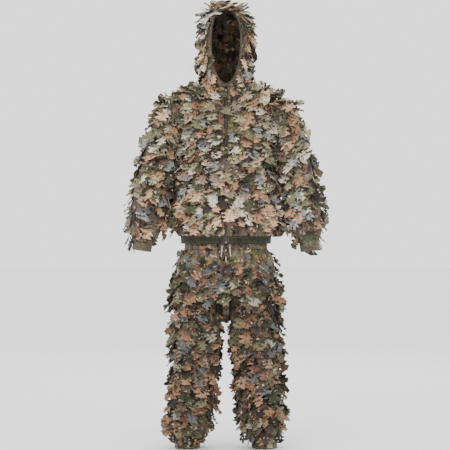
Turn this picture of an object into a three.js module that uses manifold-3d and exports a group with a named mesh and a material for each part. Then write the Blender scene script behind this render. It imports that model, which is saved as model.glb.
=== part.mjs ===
// A leaf-covered camouflage suit: a hooded zip jacket over elasticated trousers, filled out as when worn.
// Each garment is sewn from panels, and each panel is one closed solid. Millimetres, +Z up, the wearer
// faces -Y, so the wearer's left is at +X. The origin is the middle of the trousers' waist opening.

import * as THREE from "three";
import { mergeVertices } from "three/addons/utils/BufferGeometryUtils.js";
import Module from "manifold-3d";

const wasm = await Module();
wasm.setup();

// ---- Cloth ----
const CLOTH = 4; // a panel with the backing of its leaf flaps
const SEAM = 0.4; // gap between two pieces that are sewn together
const SLIP = 2.2; // gap between layers that slide over each other when a limb bends
const BAND = 2.4; // an elastic band inside its casing
const BODY_POWER = 2.4; // a body section is a little squarer than an ellipse

// ---- Trousers, as heights above the ankle hems ----
const ANKLE_CUFF = 40;
const KNEE = 285;
const HIP = 602;
const SEAT_LOW_BACK = 556;
const SEAT_LOW_FRONT = 652;
const GUSSET_SAG = 20;
const WAIST = 905;
const WAISTBAND = 56;
const WAIST_WIDTH = 174; // half widths and half depths from here on
const WAIST_DEPTH = 110;
const WAIST_BACK = 104; // how far back the waistband reaches
const THIGH = 97;
const THIGH_DEPTH = 106;
const LEG_GAP = 16; // from the middle of the suit to the inside of a thigh
const HIP_SPREAD = THIGH + LEG_GAP; // from the middle of the suit to the middle of a leg
const SEAT_EASE = 12; // the seat passes this far outside the thighs
const SEAT_WIDTH = HIP_SPREAD + THIGH + SEAT_EASE;
const SEAT_DEPTH = THIGH_DEPTH + 25;
const KNEE_WIDTH = 91;
const KNEE_DEPTH = 98;
const CALF = 89;
const ANKLE = 54;
const KNEE_SPREAD = 134;
const ANKLE_SPREAD = 163;

// ---- Jacket, as heights above the ankle hems ----
const HEM = 873;
const HEM_BAND = 32;
const NECK = 1536;
const HEM_WIDTH = 191;
const HEM_BACK = 112; // the gathered hem lies against the back of the waistband
const CHEST_WIDTH = 216;
const BODY_WIDTH = CHEST_WIDTH - 12;
const BLOUSE_WIDTH = CHEST_WIDTH + 1;
const NECK_WIDTH = 94;
const BLOUSE_BACK = 125;
const NECK_BACK = 86;
const FRONT_AT_HEM = -133;
const FRONT_AT_NECK = -93;

// ---- Sleeves: the middle of the sleeve at each level, out from the suit's middle and up ----
const SHOULDER = [CHEST_WIDTH + 5, 1412];
const ARMPIT = [CHEST_WIDTH + 51, 1316];
const ELBOW = [CHEST_WIDTH + 91, 1140];
const FOREARM = [CHEST_WIDTH + 116, 1030];
const WRIST = [CHEST_WIDTH + 139, 880];
const SLEEVE_HEAD = 75;
const ARMPIT_WIDTH = 59;
const SLEEVE = 72;
const FOREARM_WIDTH = 75;
const WRIST_WIDTH = 41;
const WRIST_CUFF = 38;

// ---- How far the limbs bend, in degrees ----
const ARM_RAISE = 55;
const ELBOW_BEND = 50;
const HIP_BEND = 45;
const KNEE_BEND = 50;
const LAP = 4; // how far an outer layer reaches past the joint on the side that opens
const COVER = 5; // degrees by which an inner layer still reaches under it when bent
const TACK = 2.5; // radius of the bar tack that joins two layers at a joint
const TACK_GAP = 0.7;
const SHOULDER_TACK = 99; // degrees up and over from straight out
const SHOULDER_HOLE = [-20, 64]; // degrees up from the armpit side, where the sleeve opens into the jacket

// ---- Hood ----
const HOOD_TOP = 1882;
const HOOD_WIDTH = 104;
const HOOD_FRONT = -112;
const HOOD_BACK = 130;
const HOOD_LOW = NECK + 0.6;
const FACE_WIDTH = 60;
const FACE_TOP = 1860;
const FACE_BOTTOM = 1552;
const FACE_HEM = 9;
const CROWN_STRIP = 44;
const CROWN_LOW = 1800; // where the crown strip starts on the forehead

// ---- Zip ----
const ZIP_GAP = 6; // the front panels stop this far from the middle
const TAPE_WIDTH = 17;
const TAPE = 1.2;
const TAPE_SET = 2.4; // room behind the curved front for the flat tape
const CHAIN = 2.6;
const SLIDER_LENGTH = 15;
const SLIDER_WALL = 1.4;
const PIN = 0.9;
const PULL_LENGTH = 30;
const PULL_WIDTH = 7;
const PULL = 1.3;

// ---- Neck band and hanger loop ----
const NECK_BAND = 18;
const LOOP = 52;
const LOOP_SET = 3.4; // the neck band curves forward this much at the loop's ends
const LOOP_FOOT = 13; // where the loop is sewn, below the neck's edge
const LOOP_RISE = 14;
const LOOP_STAND = 12; // how far the loop stands away from the neck band
const STRAP = 1.4;
const STRAP_WIDTH = 6;

// ---- Drawcord and pockets ----
const CORD = 4;
const CORD_SPREAD = 16;
const CORD_DROP = 43; // below the waistband's top edge
const EYELET = 3.4;
const EYELET_RIM = 6;
const EYELET_SET = 0.2; // the waistband curves back this much at the eyelets
const POCKET_PLACE = 150; // from the middle of the suit
const POCKET_MOUTH = 140;
const POCKET_SLIT = 3;
const POCKET_WIDTH = 120;
const POCKET_DEPTH = 150;
const POCKET_CLOTH = 2;

// ---- Detail of the lofts ----
const SIDES = 20;
const DOME_STEP = 15; // degrees between the rings of a dome over a joint
const DOME_RINGS = 5;
const FAR = 4000;

// A closed three.js geometry as a solid that can be joined and cut.
function solid(geometry) {
  const bare = geometry.index ? geometry.toNonIndexed() : geometry.clone();
  for (const name of Object.keys(bare.attributes)) if (name !== "position") bare.deleteAttribute(name);
  const merged = mergeVertices(bare, 1e-4);
  return new wasm.Manifold(
    new wasm.Mesh({
      numProp: 3,
      vertProperties: merged.attributes.position.array,
      triVerts: new Uint32Array(merged.index.array),
    }),
  );
}

// The way back, from a solid to a geometry.
function geometryOf(body) {
  const mesh = body.getMesh();
  const geometry = new THREE.BufferGeometry();
  geometry.setAttribute("position", new THREE.BufferAttribute(Float32Array.from(mesh.vertProperties), 3));
  geometry.setIndex(new THREE.BufferAttribute(Uint32Array.from(mesh.triVerts), 1));
  const flat = geometry.toNonIndexed();
  flat.computeVertexNormals();
  return flat;
}

function block([x0, x1], [y0, y1], [z0, z1]) {
  const box = new THREE.BoxGeometry(x1 - x0, y1 - y0, z1 - z0);
  return solid(box.translate((x0 + x1) / 2, (y0 + y1) / 2, (z0 + z1) / 2));
}

function ellipsoid([x, y, z], width, depth, height, sides = SIDES) {
  const ball = new THREE.SphereGeometry(1, sides, sides / 2);
  return solid(ball.rotateX(Math.PI / 2).scale(width, depth, height).translate(x, y, z));
}

// Everything on the side of a plane that its normal points to.
function halfSpace(point, normal) {
  const box = new THREE.BoxGeometry(2 * FAR, 2 * FAR, 2 * FAR);
  const up = new THREE.Vector3(0, 0, 1);
  const turn = new THREE.Quaternion().setFromUnitVectors(up, normal.clone().normalize());
  box.translate(0, 0, FAR).applyQuaternion(turn);
  return solid(box.translate(point.x, point.y, point.z));
}

// A lofted solid through sections listed from the top down. Each section has its middle, half width and
// half depth. When leaning, a section is square to the line of middles, and is level otherwise. Growing
// moves the surface along its own normal, and an overrun lengthens the two ends straight on.
function loft(sections, { grow = 0, overrun = [0, 0], leaning = false, power = 2 } = {}) {
  const curve = (points) => new THREE.CatmullRomCurve3(points, false, "catmullrom", 0.5);
  const line = curve(sections.map((s) => new THREE.Vector3(s.x ?? 0, s.y ?? 0, s.z)));
  const spread = curve(sections.map((s) => new THREE.Vector3(s.width, s.depth, 0)));
  const bulge = (v) => Math.sign(v) * Math.abs(v) ** (2 / power);
  const surface = (along, angle) => {
    const size = spread.getPoint(along);
    const run = line.getTangent(along);
    const across = leaning ? new THREE.Vector3(-run.z, 0, run.x).normalize() : new THREE.Vector3(1, 0, 0);
    const point = line.getPoint(along).addScaledVector(across, bulge(Math.sin(angle)) * size.x);
    point.y -= bulge(Math.cos(angle)) * size.y;
    return point;
  };
  const outward = (along, angle) => {
    const near = 1e-3;
    const round = surface(along, angle + near).sub(surface(along, angle - near));
    const lower = surface(Math.min(1, along + near), angle);
    return lower.sub(surface(Math.max(0, along - near), angle)).cross(round).normalize();
  };
  const gaps = sections.length - 1;
  const before = overrun[0] ? 1 : 0;
  const after = overrun[1] ? 1 : 0;
  const rings = gaps + before + after;
  const skin = new THREE.CylinderGeometry(1, 1, 1, SIDES, rings);
  const at = skin.attributes.position;
  for (let i = 0; i < at.count; i++) {
    const ring = Math.round((0.5 - at.getY(i)) * rings) - before;
    const along = Math.min(1, Math.max(0, ring / gaps));
    const angle = Math.atan2(at.getX(i), at.getZ(i));
    const isCentre = Math.hypot(at.getX(i), at.getZ(i)) < 0.5;
    const point = isCentre ? line.getPoint(along) : surface(along, angle);
    if (!isCentre) point.addScaledVector(outward(along, angle), grow);
    if (ring < 0) point.addScaledVector(line.getTangent(0), -overrun[0]);
    if (ring > gaps) point.addScaledVector(line.getTangent(1), overrun[1]);
    at.setXYZ(i, point.x, point.y, point.z);
  }
  return solid(skin);
}

// The wall between two offsets of a loft, inwards from its outer face.
function wall(sections, options, inset, thickness) {
  const outer = loft(sections, { ...options, grow: -inset });
  const past = 4 * CLOTH;
  return outer.subtract(loft(sections, { ...options, grow: -inset - thickness, overrun: [past, past] }));
}

// A limb starts at a joint. Its tube carries on over the joint as a dome, inside the piece above.
function limb(sections, { grow = 0, past = 0, leaning = false } = {}) {
  const [top, next] = sections;
  const run = new THREE.Vector2(leaning ? next.x - top.x : 0, next.z - top.z).normalize();
  const dome = Array.from({ length: DOME_RINGS }, (_, i) => {
    const tilt = THREE.MathUtils.degToRad(DOME_STEP * (DOME_RINGS - i));
    const lift = top.depth * Math.sin(tilt);
    const shrink = Math.cos(tilt);
    const middle = { x: top.x - run.x * lift, z: top.z - run.y * lift };
    return { ...middle, width: top.width * shrink, depth: top.depth * shrink };
  });
  return loft([...dome, ...sections], { grow, leaning, overrun: [0, past] });
}

const hollowLimb = (sections, options = {}) =>
  limb(sections, options).subtract(limb(sections, { ...options, grow: -CLOTH, past: 4 * CLOTH }));

// A length of a two-section band, given as shares of it from its top.
function partOf([top, bottom], ...shares) {
  const mix = (key, share) => (top[key] ?? 0) + share * ((bottom[key] ?? 0) - (top[key] ?? 0));
  const keys = ["x", "y", "z", "width", "depth"];
  return shares.map((share) => Object.fromEntries(keys.map((key) => [key, mix(key, share)])));
}

// A bar tack: a short round knot of thread between two distances from a point.
function tack(point, direction, from, to) {
  const knot = new THREE.CylinderGeometry(TACK, TACK, to - from, 12);
  const turn = new THREE.Quaternion().setFromUnitVectors(new THREE.Vector3(0, 1, 0), direction);
  const middle = point.clone().addScaledVector(direction, (from + to) / 2);
  return solid(knot.applyQuaternion(turn).translate(middle.x, middle.y, middle.z));
}

// The tack of a nested dome, just past the low edge of the layer around it, where bending opens a gap.
function edgeTack({ pivot, down, bendTo }, radius, outside) {
  const point = pivot.clone().addScaledVector(down, LAP + TACK_GAP + TACK);
  return tack(point, bendTo.clone().negate(), radius - CLOTH / 2, outside);
}

// The hole that opens a dome. Its edges are angles about the joint, from the side away from the bend,
// over the top, to the side that the limb bends to.
function domeHole({ pivot, down, bendTo }, radius, from, to) {
  const middle = THREE.MathUtils.degToRad((from + to) / 2);
  const half = THREE.MathUtils.degToRad((to - from) / 2);
  const axis = bendTo.clone().multiplyScalar(-Math.cos(middle)).addScaledVector(down, -Math.sin(middle));
  return halfSpace(pivot.clone().addScaledVector(axis, radius * Math.cos(half)), axis);
}

// Where the piece above a joint ends: low on the side that opens, and high where the limb bends to.
function jointEnd({ pivot, down, bendTo }, radius, rise) {
  const low = pivot.clone().addScaledVector(bendTo, -radius).addScaledVector(down, LAP);
  const normal = down.clone().multiplyScalar(-2 * radius).addScaledVector(bendTo, -(rise + LAP));
  return halfSpace(low, normal);
}

const riseFor = (radius, bend) => radius * Math.tan(THREE.MathUtils.degToRad(bend / 2)) + LAP;

// The dome under such an end: it covers the side that opens, and stops above the raised edge.
function nestedHole(joint, radius, bend, rise) {
  const raised = THREE.MathUtils.radToDeg(Math.asin(Math.min(1, rise / radius)));
  return domeHole(joint, radius, bend + COVER, 180 - raised - COVER);
}

const front = (edge = 0) => block([-FAR, FAR], [-FAR, edge - SEAM / 2], [-FAR, FAR]);
const back = (edge = 0) => block([-FAR, FAR], [edge + SEAM / 2, FAR], [-FAR, FAR]);
const between = (low, high) => block([-FAR, FAR], [-FAR, FAR], [low, high]);
const sideOf = (side, edge) => block(side > 0 ? [edge, FAR] : [-FAR, -edge], [-FAR, FAR], [-FAR, FAR]);
const sideName = (side) => (side > 0 ? "left" : "right");

// ---- Sections, from the top down ----

const jacketFront = (z) => FRONT_AT_HEM + ((FRONT_AT_NECK - FRONT_AT_HEM) * (z - HEM)) / (NECK - HEM);

function jacketSection(z, width, backFace) {
  const frontFace = jacketFront(z);
  return { z, width, y: (frontFace + backFace) / 2, depth: (backFace - frontFace) / 2 };
}

const upTorso = (share) => HEM + HEM_BAND + share * (NECK - HEM - HEM_BAND);
const torso = [
  jacketSection(NECK, NECK_WIDTH, NECK_BACK),
  jacketSection(upTorso(0.987), NECK_WIDTH + 36, NECK_BACK + 4),
  jacketSection(upTorso(0.97), CHEST_WIDTH - 48, NECK_BACK + 10),
  jacketSection(upTorso(0.949), CHEST_WIDTH - 14, NECK_BACK + 18),
  jacketSection(upTorso(0.91), CHEST_WIDTH, BLOUSE_BACK - 14),
  jacketSection(upTorso(0.8), CHEST_WIDTH, BLOUSE_BACK - 6),
  jacketSection(upTorso(0.69), CHEST_WIDTH - 8, BLOUSE_BACK - 3),
  jacketSection(upTorso(0.5), BODY_WIDTH, BLOUSE_BACK - 5),
  jacketSection(upTorso(0.3), BODY_WIDTH + 3, BLOUSE_BACK - 4),
  jacketSection(upTorso(0.14), BLOUSE_WIDTH - 5, BLOUSE_BACK - 1),
  jacketSection(upTorso(0.05), BLOUSE_WIDTH, BLOUSE_BACK),
  jacketSection(upTorso(0), HEM_WIDTH + 16, HEM_BACK + 2),
];
const hemBand = [
  jacketSection(HEM + HEM_BAND - SEAM, HEM_WIDTH + 2, HEM_BACK + 1),
  jacketSection(HEM, HEM_WIDTH, HEM_BACK),
];

const NECK_SET = CLOTH + 2 * SEAM; // inwards from the jacket's outer face
const neckBand = [NECK - SEAM, NECK - NECK_BAND].map((z) => ({
  ...jacketSection(NECK, NECK_WIDTH - NECK_SET, NECK_BACK),
  depth: (NECK_BACK - FRONT_AT_NECK) / 2 - NECK_SET,
  y: (NECK_BACK + FRONT_AT_NECK) / 2,
  z,
}));

const WAIST_SET = WAIST_BACK - WAIST_DEPTH; // the waistband's middle, forward of the origin
const waistband = [
  { z: WAIST, width: WAIST_WIDTH, depth: WAIST_DEPTH, y: WAIST_SET },
  { z: WAIST - WAISTBAND + SEAM, width: WAIST_WIDTH + 2, depth: WAIST_DEPTH + 1, y: WAIST_SET },
];
const downSeat = (share) => WAIST - WAISTBAND - share * (WAIST - WAISTBAND - SEAT_LOW_BACK);
const seat = [
  { z: downSeat(0), width: WAIST_WIDTH + 2, depth: WAIST_DEPTH + 1, y: WAIST_SET },
  { z: downSeat(0.08), width: WAIST_WIDTH + 18, depth: WAIST_DEPTH + 9, y: WAIST_SET * 0.7 },
  { z: downSeat(0.2), width: SEAT_WIDTH - 14, depth: SEAT_DEPTH - 7, y: WAIST_SET * 0.4 },
  { z: downSeat(0.45), width: SEAT_WIDTH - 4, depth: SEAT_DEPTH - 2, y: 0 },
  { z: downSeat(0.75), width: SEAT_WIDTH, depth: SEAT_DEPTH, y: 0 },
  { z: downSeat(1.05), width: SEAT_WIDTH, depth: SEAT_DEPTH, y: 0 },
];

function thighSections(side) {
  const down = (share) => HIP - share * (HIP - KNEE);
  const out = (share) => side * (HIP_SPREAD + share * (KNEE_SPREAD - HIP_SPREAD));
  return [
    { x: out(0), z: down(0), width: THIGH, depth: THIGH_DEPTH },
    { x: out(0.2), z: down(0.25), width: THIGH, depth: THIGH_DEPTH },
    { x: out(0.6), z: down(0.6), width: THIGH - 1, depth: THIGH_DEPTH - 3 },
    { x: out(1), z: down(1), width: KNEE_WIDTH, depth: KNEE_DEPTH },
    { x: out(1), z: down(1) - 2 * LAP, width: KNEE_WIDTH, depth: KNEE_DEPTH },
  ];
}

const KNEE_NEST = CLOTH + SLIP; // the shin's top nests inside the thigh's end by this much
function shinSections(side) {
  const down = (share) => KNEE - share * (KNEE - ANKLE_CUFF);
  const out = (share) => side * (KNEE_SPREAD + share * (ANKLE_SPREAD - KNEE_SPREAD));
  return [
    { x: out(0), z: down(0), width: KNEE_WIDTH - KNEE_NEST, depth: KNEE_DEPTH - KNEE_NEST },
    { x: out(0.2), z: down(0.3), width: CALF, depth: KNEE_DEPTH - 4 },
    { x: out(0.7), z: down(0.68), width: CALF - 2, depth: CALF + 1 },
    { x: out(0.9), z: down(0.86), width: (CALF + ANKLE) / 2 + 6, depth: (CALF + ANKLE) / 2 + 8 },
    { x: out(1), z: down(1), width: ANKLE + 3, depth: ANKLE + 7 },
  ];
}

function ankleSections(side) {
  return [
    { x: side * ANKLE_SPREAD, z: ANKLE_CUFF - SEAM, width: ANKLE, depth: ANKLE + 4 },
    { x: side * (ANKLE_SPREAD + 2), z: 0, width: ANKLE - 1, depth: ANKLE + 3 },
  ];
}

function sleeveSections(side) {
  const at = ([x, z], radius) => ({ x: side * x, z, width: radius, depth: radius });
  const midway = [(ARMPIT[0] + ELBOW[0]) / 2, (ARMPIT[1] + ELBOW[1]) / 2];
  const past = [ELBOW[0] + 4, ELBOW[1] - 4 * LAP];
  return [
    at(SHOULDER, SLEEVE_HEAD),
    at(ARMPIT, ARMPIT_WIDTH),
    at(midway, SLEEVE - 3),
    at(ELBOW, SLEEVE),
    at(past, SLEEVE),
  ];
}

const ELBOW_NEST = CLOTH + SLIP;
function forearmSections(side) {
  const at = ([x, z], radius) => ({ x: side * x, z, width: radius, depth: radius });
  const toWrist = (share) => FOREARM.map((v, i) => v + share * (WRIST[i] - v));
  return [
    at(ELBOW, SLEEVE - ELBOW_NEST),
    at(FOREARM, FOREARM_WIDTH),
    at(toWrist(0.5), FOREARM_WIDTH - 6),
    at(toWrist(0.8), (FOREARM_WIDTH + WRIST_WIDTH) / 2),
    at(WRIST, WRIST_WIDTH + 4),
  ];
}

const WRIST_LEAN = Math.atan2(WRIST[0] - FOREARM[0], FOREARM[1] - WRIST[1]);
function cuffSections(side) {
  const run = (d) => [WRIST[0] + d * Math.sin(WRIST_LEAN), WRIST[1] - d * Math.cos(WRIST_LEAN)];
  return [SEAM, WRIST_CUFF].map((d) => {
    const [x, z] = run(d);
    return { x: side * x, z, width: WRIST_WIDTH, depth: WRIST_WIDTH };
  });
}

const upHood = (share) => HOOD_LOW + share * (HOOD_TOP - HOOD_LOW);
function hoodSection(share, width, frontFace, backFace) {
  return { z: upHood(share), width, y: (frontFace + backFace) / 2, depth: (backFace - frontFace) / 2 };
}
const hood = [
  hoodSection(1, HOOD_WIDTH * 0.3, HOOD_FRONT + 66, HOOD_BACK - 95),
  hoodSection(0.975, HOOD_WIDTH * 0.58, HOOD_FRONT + 34, HOOD_BACK - 62),
  hoodSection(0.92, HOOD_WIDTH * 0.8, HOOD_FRONT + 14, HOOD_BACK - 32),
  hoodSection(0.8, HOOD_WIDTH * 0.95, HOOD_FRONT + 2, HOOD_BACK - 7),
  hoodSection(0.6, HOOD_WIDTH, HOOD_FRONT, HOOD_BACK),
  hoodSection(0.35, HOOD_WIDTH - 1, HOOD_FRONT + 4, HOOD_BACK - 4),
  hoodSection(0.14, HOOD_WIDTH - 7, HOOD_FRONT + 14, HOOD_BACK - 20),
  hoodSection(0, NECK_WIDTH, FRONT_AT_NECK + 3, NECK_BACK + 4),
];

// ---- Materials ----

function cloth(colour, roughness = 0.95) {
  return new THREE.MeshStandardMaterial({ color: colour, roughness, metalness: 0 });
}
const leafCloth = cloth(0x6b5e4c);
const cuffCloth = cloth(0x5c5a48);
const elastic = cloth(0x2d2a26, 0.85);
const tapeCloth = cloth(0x2b2a27);
const cordCloth = cloth(0xb7b1a2);
const gunmetal = new THREE.MeshStandardMaterial({ color: 0x4a4640, roughness: 0.42, metalness: 0.85 });

// The exported group stands at the waist; the suit inside it is measured from the ankle hems.
const suit = new THREE.Group();
const fromHems = new THREE.Group();
fromHems.position.z = -WAIST;
suit.add(fromHems);

function piece(name, body, material) {
  const mesh = new THREE.Mesh(geometryOf(body), material);
  mesh.name = name;
  fromHems.add(mesh);
}

// ---- Trousers ----

const body = { power: BODY_POWER };
const seatEnd = (lower = 0) =>
  halfSpace(
    new THREE.Vector3(0, -SEAT_DEPTH, SEAT_LOW_FRONT - lower),
    new THREE.Vector3(0, SEAT_LOW_FRONT - SEAT_LOW_BACK, 2 * SEAT_DEPTH),
  );

function seatPanels() {
  const shell = wall(seat, body, 0, CLOTH).intersect(seatEnd());
  const mouthTop = downSeat(0.06);
  for (const side of [1, -1]) {
    const across = (a, b) => (side > 0 ? [a, b] : [-b, -a]);
    const slit = block(
      across(POCKET_PLACE - POCKET_SLIT / 2, POCKET_PLACE + POCKET_SLIT / 2),
      [-FAR, 0],
      [mouthTop - POCKET_MOUTH, mouthTop],
    );
    const half = shell.intersect(sideOf(side, SEAM / 2));
    piece(`seat_front_${sideName(side)}`, half.intersect(front()).subtract(slit), leafCloth);
    piece(`seat_back_${sideName(side)}`, half.intersect(back()), leafCloth);
    // The pocket bag lies flat and empty behind its mouth.
    const bagSpan = across(POCKET_PLACE - POCKET_WIDTH / 2, POCKET_PLACE + POCKET_WIDTH / 2);
    const bag = wall(seat, body, CLOTH + SEAM, POCKET_CLOTH)
      .intersect(between(mouthTop - POCKET_DEPTH, mouthTop + 3 * POCKET_SLIT))
      .intersect(front(-SEAM))
      .intersect(block(bagSpan, [-FAR, FAR], [-FAR, FAR]));
    piece(`pocket_bag_${sideName(side)}`, bag, tapeCloth);
  }
}

// Turns a shape drawn with front-to-back as its X and height as its Y into place across the suit.
const upright = new THREE.Matrix4().makeBasis(
  new THREE.Vector3(0, 1, 0),
  new THREE.Vector3(0, 0, 1),
  new THREE.Vector3(1, 0, 0),
);

// The strip of cloth that passes between the legs, from the front of the seat to the back.
// It hangs a little below the seat's lower edge, which falls from the front to the back.
function gusset() {
  const half = HIP_SPREAD - THIGH - SLIP;
  const reach = SEAT_DEPTH - CLOTH / 2;
  const low = SEAT_LOW_BACK - GUSSET_SAG;
  const fall = SEAT_LOW_FRONT - GUSSET_SAG - low;
  const line = (inset) => [
    new THREE.Vector2(-reach + inset, SEAT_LOW_FRONT),
    new THREE.Vector2(-reach * 0.97 + inset, low + fall * 0.84),
    new THREE.Vector2((-reach + inset) * 0.6, low + fall * 0.48 + inset * 0.8),
    new THREE.Vector2(0, low + fall * 0.2 + inset),
    new THREE.Vector2((reach - inset) * 0.6, low + inset),
    new THREE.Vector2(reach * 0.97 - inset, low + GUSSET_SAG * 0.35 + inset * 0.4),
    new THREE.Vector2(reach - inset, SEAT_LOW_BACK),
  ];
  const outline = new THREE.Shape([
    ...new THREE.SplineCurve(line(-CLOTH / 2)).getPoints(16),
    ...new THREE.SplineCurve(line(CLOTH / 2)).getPoints(16).reverse(),
  ]);
  const strip = new THREE.ExtrudeGeometry(outline, { depth: 2 * half, bevelEnabled: false });
  return solid(strip.translate(0, 0, -half).applyMatrix4(upright)).subtract(seatEnd(SEAM));
}

const DOWN = new THREE.Vector3(0, 0, -1);
const FORWARD = new THREE.Vector3(0, -1, 0);
const BACKWARD = new THREE.Vector3(0, 1, 0);

function legPanels(side) {
  const name = sideName(side);
  const thigh = thighSections(side);
  const shin = shinSections(side);
  const hip = { pivot: new THREE.Vector3(thigh[0].x, 0, HIP), down: DOWN, bendTo: FORWARD };
  const knee = { pivot: new THREE.Vector3(shin[0].x, 0, KNEE), down: DOWN, bendTo: BACKWARD };
  const rise = riseFor(KNEE_DEPTH, KNEE_BEND);
  const hipEdge = HIP_BEND - 2 * COVER;
  const outwards = new THREE.Vector3(side, 0, 0);
  const seatInside = SEAT_WIDTH - CLOTH - HIP_SPREAD;
  const thighShell = hollowLimb(thigh)
    .subtract(domeHole(hip, THIGH_DEPTH, hipEdge, 180 - hipEdge))
    .intersect(jointEnd(knee, KNEE_DEPTH, rise))
    .add(tack(hip.pivot, outwards, THIGH - CLOTH / 2, seatInside - TACK_GAP));
  piece(`thigh_front_${name}`, thighShell.intersect(front()), leafCloth);
  piece(`thigh_back_${name}`, thighShell.intersect(back()), leafCloth);
  const shinShell = hollowLimb(shin)
    .subtract(nestedHole(knee, shin[0].depth, KNEE_BEND, rise))
    .add(edgeTack(knee, shin[0].depth, KNEE_DEPTH));
  piece(`shin_front_${name}`, shinShell.intersect(front()), leafCloth);
  piece(`shin_back_${name}`, shinShell.intersect(back()), leafCloth);
  piece(`ankle_cuff_${name}`, wall(ankleSections(side), {}, 0, CLOTH), cuffCloth);
  const gathered = partOf(ankleSections(side), 0.2, 0.8);
  piece(`ankle_elastic_${name}`, wall(gathered, {}, CLOTH + SEAM, BAND), elastic);
}

const CORD_HEIGHT = WAIST - CORD_DROP;
const WAIST_FRONT = WAIST_SET - WAIST_DEPTH + EYELET_SET;

function waistPieces() {
  const bore = new THREE.CylinderGeometry(EYELET + SEAM, EYELET + SEAM, 8 * CLOTH, 16);
  bore.translate(CORD_SPREAD, WAIST_FRONT, CORD_HEIGHT);
  const bores = solid(bore).add(solid(bore.clone().translate(-2 * CORD_SPREAD, 0, 0)));
  piece("waistband", wall(waistband, body, 0, CLOTH).subtract(bores), cuffCloth);
  const upToEyelets = (CORD_DROP - EYELET_RIM) / WAISTBAND;
  piece("waist_elastic", wall(partOf(waistband, 0.06, upToEyelets), body, CLOTH + SEAM, BAND), elastic);
  // The cord runs round inside the waistband, and its two ends come out at the front.
  const clear = CORD_SPREAD + EYELET + SEAM;
  const channel = partOf(waistband, (CORD_DROP - CORD / 2) / WAISTBAND, (CORD_DROP + CORD / 2) / WAISTBAND);
  const exit = block([-clear, clear], [-FAR, 0], [-FAR, FAR]);
  piece("waist_drawcord", wall(channel, body, CLOTH + SEAM, CORD).subtract(exit), cordCloth);
  for (const side of [1, -1]) {
    const name = sideName(side);
    piece(`eyelet_${name}`, eyelet(side), gunmetal);
    const route = cordRoute(side);
    piece(`drawcord_end_${name}`, tubeAlong(route, CORD / 2), cordCloth);
    const end = route.at(-1);
    const knot = ellipsoid([end.x, end.y, end.z - CORD - SEAM], CORD * 0.9, CORD * 0.9, CORD, 12);
    piece(`drawcord_knot_${name}`, knot, cordCloth);
  }
}

// A rolled metal ring through the waistband, with its rim on the outside.
function eyelet(side) {
  const inner = CORD / 2 + SEAM;
  const outside = 2 * SEAM + CLOTH;
  const profile = [
    [inner, 0],
    [EYELET, 0],
    [EYELET, outside],
    [EYELET_RIM, outside],
    [EYELET_RIM, outside + 1],
    [inner, outside + 1],
    [inner, 0],
  ].map(([radius, height]) => new THREE.Vector2(radius, height));
  const ring = new THREE.LatheGeometry(profile, 16);
  return solid(ring.rotateX(Math.PI).translate(side * CORD_SPREAD, WAIST_FRONT + CLOTH, CORD_HEIGHT));
}

// Where a drawcord end comes out of its eyelet, bends over and hangs in front of the seat.
function cordRoute(side) {
  return [
    [0, 6, 0],
    [0, 2, 0],
    [0, -2, 0],
    [0.1, -5, -0.1],
    [0.2, -7.4, -0.9],
    [0.4, -9.2, -2.6],
    [0.6, -10.3, -5],
    [0.8, -10.9, -8],
    [1.1, -11.3, -11.5],
    [1.4, -11.6, -15],
    [1.8, -11.9, -19],
    [2.2, -12.2, -23],
    [2.6, -12.5, -27],
    [3, -12.8, -31],
    [3.4, -13.1, -35],
  ].map(([x, y, z]) => new THREE.Vector3(side * (CORD_SPREAD + x), WAIST_FRONT + y, CORD_HEIGHT + z));
}

function tubeAlong(points, radius) {
  const path = new THREE.CatmullRomCurve3(points);
  const section = new THREE.Shape().absarc(0, 0, radius, 0, 2 * Math.PI);
  const options = { steps: points.length, extrudePath: path, curveSegments: 4, bevelEnabled: false };
  return solid(new THREE.ExtrudeGeometry(section, options));
}

seatPanels();
piece("crotch_gusset", gusset(), leafCloth);
for (const side of [1, -1]) legPanels(side);
waistPieces();

// ---- Jacket ----

function jacketBody() {
  let shell = wall(torso, body, 0, CLOTH);
  const over = THREE.MathUtils.degToRad(SHOULDER_TACK);
  for (const side of [1, -1]) {
    const shoulder = new THREE.Vector3(side * SHOULDER[0], 0, SHOULDER[1]);
    const direction = new THREE.Vector3(side * Math.cos(over), 0, Math.sin(over));
    shell = shell
      .subtract(limb(sleeveSections(side), { grow: SLIP, leaning: true }))
      .add(tack(shoulder, direction, SLEEVE_HEAD + TACK_GAP, SLEEVE_HEAD + SLIP + CLOTH));
  }
  piece("jacket_back", shell.intersect(back()), leafCloth);
  for (const side of [1, -1]) {
    const panel = shell.intersect(front()).intersect(sideOf(side, ZIP_GAP));
    piece(`jacket_front_${sideName(side)}`, panel, leafCloth);
  }
  const opening = block([-ZIP_GAP, ZIP_GAP], [-FAR, 0], [-FAR, FAR]);
  piece("hem_band", wall(hemBand, body, 0, CLOTH).subtract(opening), cuffCloth);
  const zipRoom = block([-ZIP_GAP - TAPE_WIDTH, ZIP_GAP + TAPE_WIDTH], [-FAR, 0], [-FAR, FAR]);
  const gathered = wall(partOf(hemBand, 0.15, 0.85), body, CLOTH + SEAM, BAND).subtract(zipRoom);
  piece("hem_elastic", gathered, elastic);
  piece("neck_band", wall(neckBand, body, 0, TAPE).subtract(zipRoom), tapeCloth);
  piece("hanger_loop", hangerLoop(), tapeCloth);
}

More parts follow.
